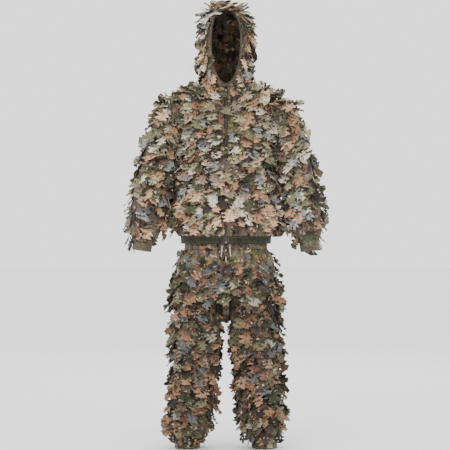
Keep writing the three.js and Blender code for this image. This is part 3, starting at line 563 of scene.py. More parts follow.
def cloth(name, surface, material, keep=None, thickness=CLOTH, cap=False):
    """A closed sheet of cloth on a surface, without the faces whose middles keep() turns down."""
    rings, columns = surface.points.shape[:2]
    build = bmesh.new()
    verts = [build.verts.new(p) for p in surface.points.reshape(-1, 3)]
    last = columns if surface.round else columns - 1
    middles = (surface.points + np.roll(surface.points, -1, axis=1)) / 2
    middles = (middles[:-1] + middles[1:]) / 2
    kept = np.ones(middles.shape[:2], bool) if keep is None else keep(middles)
    for i in range(rings - 1):
        for j in range(last):
            if kept[i, j]:
                k = (j + 1) % columns
                corners = (i * columns + j, (i + 1) * columns + j, (i + 1) * columns + k, i * columns + k)
                build.faces.new([verts[c] for c in corners])
    if cap:
        top = build.verts.new(surface.points[0].mean(axis=0))
        for j in range(columns):
            build.faces.new([top, verts[j], verts[(j + 1) % columns]])
    bmesh.ops.delete(build, geom=[v for v in build.verts if not v.link_faces], context="VERTS")
    made = link(name, mesh_of(name, build), material)
    thick = made.modifiers.new("thickness", "SOLIDIFY")
    thick.thickness = thickness
    thick.offset = -1.0
    return smooth(baked(made))


# ---------------------------------------------------------------- what is sewn on


def leaf_mesh(name, rng, lobes, length, half_width, notch, curl, cup):
    """A lobed leaf cut from thin cloth: its stalk at the origin, its tip along +Y and its face to +Z."""
    stops = [length * (k / lobes) * 0.94 for k in range(lobes + 1)]
    sides = []
    for side in (1, -1):
        edge = [[(side * 0.07 * half_width, 0.0)]]
        for k in range(lobes):
            mid = (k + 0.5) / lobes
            reach = half_width * (0.62 + 0.42 * math.sin(math.pi * mid)) * rng.uniform(0.8, 1.15)
            rise = length / lobes * rng.uniform(0.55, 0.85)
            first = (side * reach * 0.86, stops[k] + rise * 0.62)
            second = (side * reach, stops[k] + rise)
            waist = (side * reach * notch * rng.uniform(0.8, 1.2), stops[k + 1])
            edge.append([first, second, waist])
        sides.append(edge)

    def lift(x, y):
        along = y / length
        return curl * length * along**2 + cup * abs(x) + 0.0022 * math.sin(9 * along + 140 * x)

    build = bmesh.new()
    uv = build.loops.layers.uv.new("leaf_uv")

    def vert(x, y, below):
        return build.verts.new((x, y, lift(x, y) - (0.0007 if below else 0.0)))

    layers = []
    for below in (False, True):
        rib = [vert(0.0, y, below) for y in stops] + [vert(0.0, length, below)]
        rims = [[[vert(x, y, below) for x, y in part] for part in edge] for edge in sides]
        for side, rim in zip((1, -1), rims):
            for k in range(lobes):
                start = rim[k][-1]
                first, second, waist = rim[k + 1]
                for corners in ([rib[k], start, first, second], [rib[k], second, waist, rib[k + 1]]):
                    flip = (side < 0) != below
                    build.faces.new(corners[::-1] if flip else corners)
            tip = [rib[-2], rim[-1][-1], rib[-1]]
            build.faces.new(tip[::-1] if (side < 0) != below else tip)
        flat = [[v for part in rim for v in part] for rim in rims]
        layers.append(flat[0] + [rib[-1]] + flat[1][::-1] + [rib[0]])
    upper, lower = layers
    for i, corner in enumerate(upper):
        after = (i + 1) % len(upper)
        build.faces.new([corner, lower[i], lower[after], upper[after]])
    for face in build.faces:
        for loop in face.loops:
            x, y, _ = loop.vert.co
            loop[uv].uv = (x / (2 * half_width) + 0.5, y / length)
    bmesh.ops.recalc_face_normals(build, faces=build.faces)
    return mesh_of(name, build)


def kit_of(name, meshes):
    """A collection of small shapes for sewing on. It stays out of the scene itself."""
    kit = bpy.data.collections.new(name)
    for mesh in meshes:
        kit.objects.link(bpy.data.objects.new(mesh.name, mesh))
    return kit


def leaf_kit():
    rng = np.random.default_rng(41)
    cuts = [
        (3, 0.050, 0.023, 0.42, 0.22, 0.10),
        (3, 0.046, 0.026, 0.36, 0.10, -0.15),
        (2, 0.042, 0.024, 0.40, 0.30, 0.20),
        (4, 0.058, 0.022, 0.45, 0.16, -0.08),
        (3, 0.052, 0.029, 0.34, 0.05, 0.14),
        (2, 0.040, 0.021, 0.46, 0.36, 0.00),
        (4, 0.055, 0.027, 0.38, 0.24, 0.08),
    ]
    return kit_of("leaf_kit", [leaf_mesh(f"leaf_{i}", rng, *cut) for i, cut in enumerate(cuts)])


def sewing_tree():
    tree = bpy.data.node_groups.new("sewn_on", "GeometryNodeTree")
    face = tree.interface
    face.new_socket("Geometry", in_out="OUTPUT", socket_type="NodeSocketGeometry")
    sockets = {"Geometry": face.new_socket("Geometry", in_out="INPUT", socket_type="NodeSocketGeometry")}
    kinds = {"Kit": "Collection", "Finish": "Material", "Seed": "Int"}
    kinds.update({"Size Least": "Float", "Size Most": "Float", "Turn Least": "Vector", "Turn Most": "Vector"})
    for key, kind in kinds.items():
        sockets[key] = face.new_socket(key, in_out="INPUT", socket_type="NodeSocket" + kind)
    recipe = Recipe(tree)
    given = recipe.add("NodeGroupInput", out=None).outputs
    normal = recipe.add("GeometryNodeInputNamedAttribute", {"Name": "face_out"}, data_type="FLOAT_VECTOR")
    run = recipe.add("GeometryNodeInputNamedAttribute", {"Name": "run"}, data_type="FLOAT_VECTOR")
    size = recipe.add("GeometryNodeInputNamedAttribute", {"Name": "size"}, out="Attribute", data_type="FLOAT")
    axes = {"Primary Axis": normal, "Secondary Axis": run}
    upright = recipe.add("FunctionNodeAxesToRotation", axes, primary_axis="Z", secondary_axis="Y")
    limits = {"Min": given["Turn Least"], "Max": given["Turn Most"], "Seed": given["Seed"]}
    turn = recipe.add("FunctionNodeRandomValue", limits, out="Value", data_type="FLOAT_VECTOR")
    angles = recipe.add("FunctionNodeEulerToRotation", {"Euler": turn})
    both = {"Rotation": upright, "Rotate By": angles}
    turned = recipe.add("FunctionNodeRotateRotation", both, rotation_space="LOCAL")
    limits = {"Min": given["Size Least"], "Max": given["Size Most"], "Seed": given["Seed"]}
    grown = recipe.add("FunctionNodeRandomValue", limits, out="Value", data_type="FLOAT")
    scale = recipe.math("MULTIPLY", size, grown)
    shapes = {"Collection": given["Kit"], "Separate Children": True, "Reset Children": True}
    kit = recipe.add("GeometryNodeCollectionInfo", shapes)
    values = {"Points": given["Geometry"], "Instance": kit, "Pick Instance": True}
    limits = {"Min": 0, "Max": 99, "Seed": given["Seed"]}
    pick = recipe.add("FunctionNodeRandomValue", limits, out="Value", data_type="INT")
    values.update({"Instance Index": pick, "Rotation": turned, "Scale": scale})
    placed = recipe.add("GeometryNodeInstanceOnPoints", values)
    limits = {"Min": 0.0, "Max": 1.0, "Seed": 7}
    tone = recipe.add("FunctionNodeRandomValue", limits, out="Value", data_type="FLOAT")
    stored = {"Geometry": placed, "Name": "tone", "Value": tone}
    toned = recipe.add("GeometryNodeStoreNamedAttribute", stored, data_type="FLOAT", domain="INSTANCE")
    whole = recipe.add("GeometryNodeRealizeInstances", {"Geometry": toned})
    finished = recipe.add("GeometryNodeSetMaterial", {"Geometry": whole, "Material": given["Finish"]})
    recipe.add("NodeGroupOutput", {"Geometry": finished}, out=None)
    return tree, {key: socket.identifier for key, socket in sockets.items()}


SEWING, SEWING_INPUTS = sewing_tree()
LEAVES = leaf_kit()


def sew_on(name, mounts, kit, material, seed, size=(1.0, 1.0), least=(0.0, 0.0, 0.0), most=(0.0, 0.0, 0.0)):
    mesh = bpy.data.meshes.new(name)
    mesh.from_pydata([m[0] for m in mounts], [], [])
    columns = (("face_out", 1, "FLOAT_VECTOR"), ("run", 2, "FLOAT_VECTOR"), ("size", 3, "FLOAT"))
    for key, column, kind in columns:
        made = mesh.attributes.new(key, kind, "POINT")
        values = np.array([m[column] for m in mounts], np.float32).ravel()
        made.data.foreach_set("vector" if kind == "FLOAT_VECTOR" else "value", values)
    piece = link(name, mesh)
    work = piece.modifiers.new("sewn_on", "NODES")
    work.node_group = SEWING
    settings = {"Kit": kit, "Finish": material, "Seed": seed, "Size Least": size[0], "Size Most": size[1]}
    settings.update({"Turn Least": least, "Turn Most": most})
    for key, value in settings.items():
        work[SEWING_INPUTS[key]] = value
    baked(piece)
    for key in ("face_out", "run", "size"):
        if key in piece.data.attributes:
            piece.data.attributes.remove(piece.data.attributes[key])
    return piece


ROW_GAP, LEAF_GAP = 0.026, 0.030


def leaf_mounts(surface, rng, row_gap, leaf_gap, cover, size=lambda p: 1.0):
    """Rows of places for leaves down a surface. Cover says how likely a leaf is at a place."""
    mounts = []
    way = np.linalg.norm(np.diff(surface.points[:, 0], axis=0), axis=1).sum()
    columns = surface.points.shape[1]
    for row in np.arange(0.25 * row_gap, way, row_gap):
        ring = row / way * (surface.rings - 1)
        loop = surface.points[min(int(ring), surface.rings - 1)]
        girth = np.linalg.norm(np.diff(loop, axis=0), axis=1).sum()
        count = max(3, round(girth / leaf_gap))
        start = rng.random()
        for k in range(count):
            column = ((k + start + rng.uniform(-0.3, 0.3)) / count * columns) % columns
            if not surface.round:
                column = min(column, columns - 1.001)
            up_down = rng.uniform(-0.35, 0.35) * row_gap / way * (surface.rings - 1)
            place, normal, down = surface.sample(min(max(ring + up_down, 0), surface.rings - 1.001), column)
            chance = rng.random()
            if chance < cover(place, normal):
                mounts.append((place + normal * 0.0006, normal, down, size(place)))
    return mounts


LEAF_LEAST = (math.radians(2), math.radians(-22), math.radians(-42))
LEAF_MOST = (math.radians(34), math.radians(22), math.radians(42))


def leaves(name, mounts, material, seed):
    piece = sew_on(name, mounts, LEAVES, material, seed, (0.88, 1.36), LEAF_LEAST, LEAF_MOST)
    hold_in(piece)
    return piece


# How far a flap's tip may stand outside the frame's box: to the sides, front and back, and above.
# Pressing starts this far short of that, so the tips keep their order and none share a plane.
PROUD_SIDE, PROUD_FACE, PROUD_TOP = 0.033, 0.016, 0.030
PRESS_DEPTH = 0.012


def pressed(past):
    """What is left of a length that is pressed back: nearly all of a short one, never over the depth."""
    return PRESS_DEPTH * (1 - np.exp(-past / PRESS_DEPTH))


def hold_in(piece):
    """Presses back the tips that stand too far out of the frame's box."""
    points = np.empty(len(piece.data.vertices) * 3, np.float32)
    piece.data.vertices.foreach_get("co", points)
    points = points.reshape(-1, 3)
    least = np.array((cad_low[0] - PROUD_SIDE, cad_low[1] - PROUD_FACE, -WAIST + 0.001))
    most = np.array((cad_high[0] + PROUD_SIDE, cad_high[1] + PROUD_FACE, cad_high[2] + PROUD_TOP))
    past_most = np.maximum(points - (most - PRESS_DEPTH), 0)
    past_least = np.maximum(least + PRESS_DEPTH - points, 0)
    points = points - past_most + pressed(past_most) + past_least - pressed(past_least)
    piece.data.vertices.foreach_set("co", points.astype(np.float32).ravel())
    piece.data.update()


# ---------------------------------------------------------------- finishing pieces


def finish_piece(piece, slot, replaced=(), body=None, blended=None):
    if body:
        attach(piece, body)
    else:
        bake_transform(piece)
    if replaced:
        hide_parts(*replaced)


def finish_leafed(piece, flaps, nodes, cut, rests_on, **moves):
    """Finishes a cloth and the flaps sewn on it. Moves is a body, which both are attached to, or what is
    blended, which is not used.
    """
    finish_piece(piece, "leaf_cloth", nodes, **moves)
    finish_piece(flaps, "leaf_cloth", **moves)


# What each piece is cut to before it is sewn, gathered or stretched. The widths are the girths that the
# section tables have, with 2 to 4 % for folds, 11 to 13 % for gathers, and elastics 14 to 17 % short.
FRONT_CUT = (0.29, 0.70, 0.18)
BACK_CUT = (0.58, 0.70, 0.36)
UPPER_SLEEVE_CUT = (0.48, 0.31, 0.098)
LOWER_SLEEVE_CUT = (0.48, 0.37, 0.163)
HOOD_CUT = (0.74, 0.42, 0.225)
SEAT_CUT = (0.59, 0.32, 0.153)
LEG_CUT = (0.65, 0.66, 0.365)

# ---------------------------------------------------------------- drawcord

CORD_SIDES = 12


def tube(name, points, radius, material):
    """A closed round tube along points, with its lengths in radii as its UV map."""
    points = np.asarray(points, float)
    run = directions_along(points)
    side = np.cross(run[0], [0.0, 0.0, 1.0])
    if np.linalg.norm(side) < 0.1:
        side = np.cross(run[0], [1.0, 0.0, 0.0])
    build = bmesh.new()
    uv = build.loops.layers.uv.new("cord_uv")
    way = lengths_along(points) / radius
    rings = []
    for point, direction in zip(points, run):
        side = side - direction * (side @ direction)
        side /= np.linalg.norm(side)
        other = np.cross(direction, side)
        ring = []
        for k in range(CORD_SIDES):
            angle = 2 * math.pi * k / CORD_SIDES
            out = math.cos(angle) * side + math.sin(angle) * other
            ring.append(build.verts.new(point + radius * out))
        rings.append(ring)
    for i in range(len(rings) - 1):
        for k in range(CORD_SIDES):
            after = (k + 1) % CORD_SIDES
            made = build.faces.new([rings[i][k], rings[i][after], rings[i + 1][after], rings[i + 1][k]])
            spots = ((k, i), (k + 1, i), (k + 1, i + 1), (k, i + 1))
            for loop, (column, row) in zip(made.loops, spots):
                loop[uv].uv = (column / CORD_SIDES * 2 * math.pi, way[row])
    for ring, at, turn in ((rings[0], points[0], -1), (rings[-1], points[-1], 1)):
        middle = build.verts.new(at)
        for k in range(CORD_SIDES):
            corners = [ring[k], ring[(k + 1) % CORD_SIDES], middle]
            build.faces.new(corners[::turn])
    bmesh.ops.recalc_face_normals(build, faces=build.faces)
    return smooth(link(name, mesh_of(name, build), material))


CORD_DIAMETER = 0.004
CORD_HEIGHT = 0.862
CORD_SPREAD = 0.016
CORD_FROM = -0.1158  # the waistband's front at the eyelets
CORD_ROUTE = [
    (0, 6, 0),
    (0, 2, 0),
    (0, -2, 0),
    (0.1, -5, -0.1),
    (0.2, -7.4, -0.9),
    (0.4, -9.2, -2.6),
    (0.6, -10.3, -5),
    (0.8, -10.9, -8),
    (1.1, -11.3, -11.5),
    (1.4, -11.6, -15),
    (1.8, -11.9, -19),
    (2.2, -12.2, -23),
    (2.6, -12.5, -27),
    (3, -12.8, -31),
    (3.4, -13.1, -35),
]


def drawcord_end(side):
    """One end of the drawcord, from inside its eyelet to the knot it ends in."""
    name = side_name(side)
    start = np.array([side * CORD_SPREAD, CORD_FROM, CORD_HEIGHT - WAIST])
    route = np.array([(side * x, y, z) for x, y, z in CORD_ROUTE]) / 1000 + start
    path = curve_through(route, np.linspace(0, 1, 57))
    piece = tube(f"drawcord_end_{name}_braid", path, CORD_DIAMETER / 2, CORD)
    turns = np.linspace(0, 2 * math.pi, 49)[:-1]
    middle = route[-1] - np.array([0, 0, CORD_DIAMETER + 0.0004])
    loop = np.stack(
        [
            np.sin(turns) + 1.6 * np.sin(2 * turns),
            -1.1 * np.sin(3 * turns),
            np.cos(turns) - 1.6 * np.cos(2 * turns),
        ],
        axis=1,
    )
    knot_path = np.vstack([middle + loop * 0.00085, middle + loop[0] * 0.00085])
    knot = tube(f"drawcord_knot_{name}_tied", knot_path, 0.0013, CORD)
    finish_piece(piece, "cord", [f"drawcord_end_{name}"], body="trousers")
    finish_piece(knot, "cord", [f"drawcord_knot_{name}"], body="trousers")


for side in (LEFT, RIGHT):
    drawcord_end(side)

# ---------------------------------------------------------------- section tables

HEM, HEM_TOP, NECK = 0.873, 0.905, 1.536
SEAT_TOP, SEAT_LOW_BACK, SEAT_LOW_FRONT = 0.849, 0.556, 0.652
SHOULDER, ARMPIT, ELBOW = (0.221, 1.412), (0.267, 1.316), (0.307, 1.140)
UPPER_MID = (0.287, 1.228)
FOREARM, WRIST = (0.332, 1.030), (0.355, 0.880)
SLEEVE_HEAD = 0.075


def front_face(height):
    """Where the straight front of the jacket stands at a height."""
    return -0.133 + 0.04 * (height - HEM) / (NECK - HEM)


def jacket_row(height, width, back):
    front = front_face(height)
    return (0.0, (front + back) / 2, height, width, (back - front) / 2)


def torso_rows():
    shape = [
        (1.0, 0.094, 0.086),
        (0.987, 0.130, 0.090),
        (0.97, 0.168, 0.096),
        (0.949, 0.202, 0.104),
        (0.91, 0.216, 0.111),
        (0.8, 0.216, 0.119),
        (0.69, 0.208, 0.122),
        (0.5, 0.204, 0.120),
        (0.3, 0.207, 0.121),
        (0.14, 0.212, 0.124),
        (0.05, 0.217, 0.125),
        (0.0, 0.200, 0.114),
    ]
    return [jacket_row(HEM_TOP + share * (NECK - HEM_TOP), width, back) for share, width, back in shape]


def inside_torso(points, inset):
    """Which points lie inside the jacket's body by more than an inset."""
    height = points[..., 2] + WAIST
    width, depth, middle = section_at(torso_rows(), height)
    across = np.abs(points[..., 0]) / (width - inset)
    ahead = np.abs(points[..., 1] - middle) / (depth - inset)
    share = across**BODY_POWER + ahead**BODY_POWER
    return (share < 1) & (height > HEM_TOP) & (height < NECK - inset)


# ---------------------------------------------------------------- jacket body

ZIP_EDGE = 0.006  # the front panels stop this far from the middle


def gathers(surface, folds, depth, fade, seed):
    """Pleats drawn in by an elastic: ripples round the cloth that die out where fade is 0."""
    angles = surface.angles[None, :] * folds
    drift = np.array([[noise.noise(Vector((3 * a, seed, 0.0))) for a in surface.angles]]) * 5
    surface.push(np.sin(angles + drift) * depth * fade)


def torso_surface(arc, seed):
    surface = Surface(torso_rows(), 0.009, arc, BODY_POWER)
    height = surface.points[:, :, 2] + WAIST
    near_hem = 1 - smoothstep(height, HEM_TOP, 1.0)
    near_neck = smoothstep(height, 1.44, 1.52)
    loose = 1 - np.maximum(near_neck, 0.6 * near_hem)
    middle = smoothstep(np.abs(surface.points[:, :, 0]), 0.01, 0.05)
    front = surface.points[:, :, 1] < 0
    hold = np.where(front, middle, 1.0)
    surface.wrinkle(0.009, 0.13, (1.0, 1.0, 0.55), seed, loose * hold)
    surface.wrinkle(0.0035, 0.045, (1.0, 1.0, 0.8), seed + 9, loose * hold)
    gathers(surface, 34, 0.0035, near_hem * hold, seed)
    # The wearer's left corner of the hem hangs out further.
    x = surface.points[:, :, 0]
    corner = smoothstep(x, 0.12, 0.21) * (1 - smoothstep(height, 0.93, 1.03)) * smoothstep(height, 0.9, 0.915)
    surface.points[:, :, 0] += 0.034 * corner
    surface.points[:, :, 2] -= 0.008 * corner
    surface.refresh()
    return surface


def armhole(middles):
    """The part of the jacket's side that is open into the sleeve, where the sleeve always covers it."""
    x, y, z = np.abs(middles[..., 0]), middles[..., 1], middles[..., 2] + WAIST
    return (x > 0.17) & (np.hypot(y, z - 1.415) < 0.05)


def jacket_leaf_cover(place, normal):
    """Leaves lie dense on the jacket, but leave the zip and the armholes free."""
    x, y, z = place[0], place[1], place[2] + WAIST
    if y < 0 and abs(x) < 0.013:
        return 0.0
    if z < 0.942 or inside_sleeve(place):
        return 0.0
    return 0.97


def jacket_leaf_size(place):
    """Smaller leaves in the last rows above the hem band, larger ones under the arms."""
    if place[2] + WAIST < 0.975:
        return 0.8
    return 1.15 if abs(place[0]) > 0.17 and place[2] + WAIST < 1.34 else 1.0


def inside_sleeve(place):
    """Whether a place lies under the head of a sleeve."""
    line = [SHOULDER, ARMPIT, UPPER_MID, ELBOW]
    sizes = [SLEEVE_HEAD, 0.059, 0.069, 0.072]
    x, y, z = abs(place[0]), place[1], place[2] + WAIST
    for (a, b), (r0, r1) in zip(zip(line[:-1], line[1:]), zip(sizes[:-1], sizes[1:])):
        run = np.array(b) - np.array(a)
        t = float(np.clip(((x - a[0]) * run[0] + (z - a[1]) * run[1]) / (run @ run), 0, 1))
        off = math.sqrt((x - a[0] - t * run[0]) ** 2 + y**2 + (z - a[1] - t * run[1]) ** 2)
        if off < r0 + t * (r1 - r0) - 0.012:
            return True
    return False


def jacket_body():
    quarter = math.pi / 2
    panels = [("front_left", (0.016, quarter), 3.0), ("back", (quarter, 3 * quarter), 11.0)]
    panels.append(("front_right", (3 * quarter, 4 * quarter - 0.016), 3.0))
    rng = np.random.default_rng(5)
    for name, arc, seed in panels:
        surface = torso_surface(arc, seed)
        if name != "back":
            column = 0 if name == "front_left" else -1
            surface.points[:, column, 0] = ZIP_EDGE if column == 0 else -ZIP_EDGE
            surface.refresh()
        piece = cloth(f"jacket_{name}_cloth", surface, JACKET_CLOTH, lambda m: ~armhole(m))
        mounts = leaf_mounts(surface, rng, ROW_GAP, LEAF_GAP, jacket_leaf_cover, jacket_leaf_size)
        flaps = leaves(f"jacket_{name}_leaves", mounts, JACKET_LEAF, 21)
        cut = BACK_CUT if name == "back" else FRONT_CUT
        ends = ["neck_band_tape", "hem_band_cloth"]
        finish_leafed(piece, flaps, [f"jacket_{name}"], cut, ends, body="jacket")


def band(name, rows, body, replaced, material, folds, depth, power=2.0, leaning=False, arc=(0, 2 * math.pi)):
    """A gathered cloth band with two rows of stitches."""
    surface = Surface(rows, 0.004, arc, power, leaning)
    fade = np.ones(surface.points.shape[:2])
    gathers(surface, folds, depth, fade, folds * 0.1)
    piece = cloth(name, surface, material, thickness=0.0022)
    finish_piece(piece, "cuff_cloth", replaced, body=body)
    for share in (0.2, 0.8):
        ring = int(share * (surface.rings - 1))
        stitches = stitch_row(f"{name}_stitches_{round(share * 10)}", surface, ring)
        finish_piece(stitches, "cuff_cloth", body=body)
    return piece


def stitch_kit():
    """One stitch: a short, flattened bead of thread along +Y."""
    build = bmesh.new()
    bmesh.ops.create_icosphere(build, subdivisions=1, radius=1.0)
    for vert in build.verts:
        vert.co = Vector((vert.co.x * 0.0003, vert.co.y * 0.0013, vert.co.z * 0.00025))
    return kit_of("stitch_kit", [mesh_of("stitch", build)])


STITCH = stitch_kit()
STITCH_PITCH = 0.0038


def stitch_line(name, points, normals):
    """Stitches at an even pitch along a line of points on cloth."""
    way = lengths_along(points)
    stops = np.arange(STITCH_PITCH / 2, way[-1], STITCH_PITCH)
    place = np.stack([np.interp(stops, way, points[:, k]) for k in range(3)], axis=1)
    face = np.stack([np.interp(stops, way, normals[:, k]) for k in range(3)], axis=1)
    run = np.gradient(place, axis=0)
    mounts = [(p + n * 0.0002, n, r, 1.0) for p, n, r in zip(place, face, run)]
    return sew_on(name, mounts, STITCH, THREAD, 3)


def stitch_row(name, surface, ring):
    points, normals = surface.points[ring], surface.normals[ring]
    if surface.round:
        points, normals = np.vstack([points, points[:1]]), np.vstack([normals, normals[:1]])
    return stitch_line(name, points, normals)


def elastic_ring(name, rows, body, power=2.0, leaning=False, arc=(0, 2 * math.pi)):
    """A ribbed elastic, stretched inside its casing."""
    surface = Surface(rows, 0.003, arc, power, leaning)
    ribs = np.sin(np.linspace(0, 8 * math.pi, surface.rings))[:, None] * np.ones((1, surface.points.shape[1]))
    surface.push(ribs * 0.0002)
    piece = cloth(f"{name}_ribbed", surface, ELASTIC, thickness=0.0018)
    finish_piece(piece, "elastic", [name], body=body)


CASING_INSET = 0.0046  # an elastic lies this far inside its band's outer face


def inset_rows(rows, inset, top, bottom):
    """A part of a two-row band, inside it by an inset, between two shares of its height."""
    rows = np.asarray(rows, float)
    made = [rows[0] + share * (rows[1] - rows[0]) for share in (top, bottom)]
    for row in made:
        row[3:] -= inset
    return made


def cuff(limb, name, rows, body, folds, leaning=False):
    """A gathered cuff and the elastic inside it. Folds is how many it has and how deep they are."""
    node = f"{limb}_cuff_{name}"
    piece = band(f"{node}_cloth", rows, body, [node], CUFF_CLOTH, *folds, leaning=leaning)
    inner = inset_rows(rows, CASING_INSET, 0.2, 0.8)
    elastic_ring(f"{limb}_elastic_{name}", inner, body, leaning=leaning)


HEM_ROWS = [jacket_row(HEM_TOP - 0.0004, 0.193, 0.113), jacket_row(HEM, 0.191, 0.112)]
WAIST_ROWS = [(0.0, -0.006, 0.905, 0.174, 0.110), (0.0, -0.006, 0.8494, 0.176, 0.111)]


def jacket_trim():
    arc = (0.045, 2 * math.pi - 0.045)
    node = "hem_band"
    piece = band(f"{node}_cloth", HEM_ROWS, "jacket", [node], HEM_PRINT_AND_PAINTED_SHADE, 96, 0.0012, BODY_POWER, arc=arc)
    rows = inset_rows(HEM_ROWS, CASING_INSET, 0.15, 0.85)
    arc = (0.13, 2 * math.pi - 0.13)
    elastic_ring("hem_elastic", rows, "jacket", BODY_POWER, arc=arc)
    neck = [(0.0, -0.0035, height, 0.0892, 0.0847) for height in (1.5356, 1.518)]
    surface = Surface(neck, 0.004, (0.24, 2 * math.pi - 0.24), BODY_POWER)
    tape = cloth("neck_band_tape", surface, TAPE, thickness=0.0012)
    finish_piece(tape, "tape_cloth", ["neck_band"], body="jacket")
    hanger()


FLAT_STRAP = [(-0.5, -0.3), (-0.46, -0.5), (0.46, -0.5), (0.5, -0.3)]
FLAT_STRAP += [(0.5, 0.3), (0.46, 0.5), (-0.46, 0.5), (-0.5, 0.3)]
# A strip folded along its middle: two layers with a slit between them, joined at one edge.
FOLDED_STRAP = [(-0.5, -0.5), (0.42, -0.5), (0.5, -0.3), (0.5, 0.3), (0.42, 0.5), (-0.5, 0.5)]
FOLDED_STRAP += [(-0.5, 0.14), (0.4, 0.1), (0.4, -0.1), (-0.5, -0.14)]


def strap(name, points, width, thickness, across, material, profile=FLAT_STRAP):
    """A flat strap along points; across is the direction of its width."""
    points = np.asarray(points, float)
    run = directions_along(points)
    across = np.asarray(across, float)
    build = bmesh.new()
    rings = []
    for point, direction in zip(points, run):
        side = across - direction * (across @ direction)
        side /= np.linalg.norm(side)
        up = np.cross(direction, side)
        rings.append([build.verts.new(point + side * a * width + up * b * thickness) for a, b in profile])
    for i in range(len(rings) - 1):
        for k in range(len(profile)):
            after = (k + 1) % len(profile)
            build.faces.new([rings[i][k], rings[i][after], rings[i + 1][after], rings[i + 1][k]])
    build.faces.new(rings[0])
    build.faces.new(rings[-1][::-1])
    bmesh.ops.recalc_face_normals(build, faces=build.faces)
    return link(name, mesh_of(name, build), material)


def hanger():
    """The loop inside the neck by which the jacket hangs."""
    sewn, foot = 0.076, 1.523 - WAIST
    key = [(-0.026, sewn, foot), (-0.0208, sewn - 0.002, foot + 0.007), (0, sewn - 0.012, foot + 0.014)]
    key += [(0.0208, sewn - 0.002, foot + 0.007), (0.026, sewn, foot)]
    points = curve_through(key, np.linspace(0, 1, 33))
    piece = strap("hanger_loop_strap", points, 0.006, 0.0014, (0, 0.3, 1), TAPE, FOLDED_STRAP)
    finish_piece(piece, "tape_cloth", ["hanger_loop"], body="jacket")


# ---------------------------------------------------------------- zip

ZIP_FOOT, ZIP_TOP = 0.877, 1.532
TAPE_FACE = 0.0064  # the tape's outer face, in from the jacket's face
TOOTH_PITCH = 0.003


def zip_point(x, inward, height):
    """A point on the zip: across, in from the jacket's front, and up."""
    lean = math.atan2(0.04, NECK - HEM)
    return np.array(
        [x, front_face(height) + inward * math.cos(lean), height - WAIST - inward * math.sin(lean)]
    )


def tooth_kit():
    """A moulded tooth: a small bevelled block, longer towards the middle of the zip."""
    build = bmesh.new()
    bmesh.ops.create_cube(build, size=1.0)
    for vert in build.verts:
        vert.co = Vector((vert.co.x * 0.0031, vert.co.y * 0.0016, vert.co.z * 0.0026))
    bmesh.ops.bevel(build, geom=build.edges[:], offset=0.0004, segments=1, affect="EDGES")
    return kit_of("tooth_kit", [mesh_of("tooth", build)])


def zip_pieces():
    kit = tooth_kit()
    for side in (LEFT, RIGHT):
        name = side_name(side)
        heights = np.linspace(ZIP_FOOT, ZIP_TOP, 90)
        points = [zip_point(side * 0.0088, TAPE_FACE + 0.0006, h) for h in heights]
        tape = strap(f"zip_tape_{name}_woven", points, 0.0166, 0.0012, (1, 0, 0), TAPE)
        finish_piece(tape, "tape_cloth", [f"zip_tape_{name}"], body="jacket")
        offset = 0.0 if side == LEFT else TOOTH_PITCH / 2
        mounts = []
        for h in np.arange(ZIP_FOOT + 0.0085 + offset, ZIP_TOP - 0.005, TOOTH_PITCH):
            mounts.append((zip_point(side * 0.0012, TAPE_FACE - 0.0014, h), (0, -1, 0), (0, 0, 1), 1.0))
        teeth = sew_on(f"zip_teeth_{name}", mounts, kit, METAL, 1)
        finish_piece(teeth, "metal", body="jacket")
        edge = np.array([zip_point(side * 0.0105, 0.0, h) for h in heights])
        normals = np.tile([0.0, -1.0, 0.0], (len(edge), 1))
        stitches = stitch_line(f"zip_stitches_{name}", edge, normals)
        finish_piece(stitches, "tape_cloth", body="jacket")
    for node in ("zip_box", "zip_slider", "zip_pull", "eyelet_left", "eyelet_right"):
        dress(node, METAL)


def dress(node, material):
    """Gives a kept node of the frame its finish."""
    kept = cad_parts[node]
    kept.data.materials.clear()
    kept.data.materials.append(material)


# ---------------------------------------------------------------- sleeves

# The x and the height in the frame where each joint's turn starts and ends.
SHOULDER_BLEND = ((0.200, 0.500), (0.320, 0.340))
ELBOW_BLEND = ((0.297, 0.280), (0.318, 0.190))


def dome_rows(first, after, leaning):
    """Rows that carry a limb on over its joint as a dome, from the top down."""
    run = np.array([after[0] - first[0], after[2] - first[2]]) if leaning else np.array([0.0, -1.0])
    run /= np.linalg.norm(run)
    rows = []
    for tilt in (82, 70, 58, 44, 30, 15):
        up, shrink = first[4] * math.sin(math.radians(tilt)), math.cos(math.radians(tilt))
        middle = (first[0] - run[0] * up, 0.0, first[2] - run[1] * up)
        rows.append((*middle, first[3] * shrink, first[4] * shrink))
    return rows


def sleeve_leaf_cover(side):
    def cover(place, normal):
        """The outside of the sleeve is a bare strip, and the forearm thins out towards the cuff."""
        height = place[2] + WAIST
        out, ahead = side * normal[0], -normal[1]
        bare_strip = 0.55 < out < 0.93 and ahead > 0 and height < 1.34
        chance = 0.22 if bare_strip else 0.95
        if height < 1.0:
            chance *= 0.6 if out > 0.85 else 0.25
        if height > 1.30 and inside_torso(place, 0.0):
            return 0.0
        return chance

    return cover


def bent(points, side):
    return tuple((side * x, 0.0, z) for x, z in points)


def arm_row(side, place, size):
    """A round section of the arm at an x and a height."""
    return (side * place[0], 0.0, place[1], size, size)


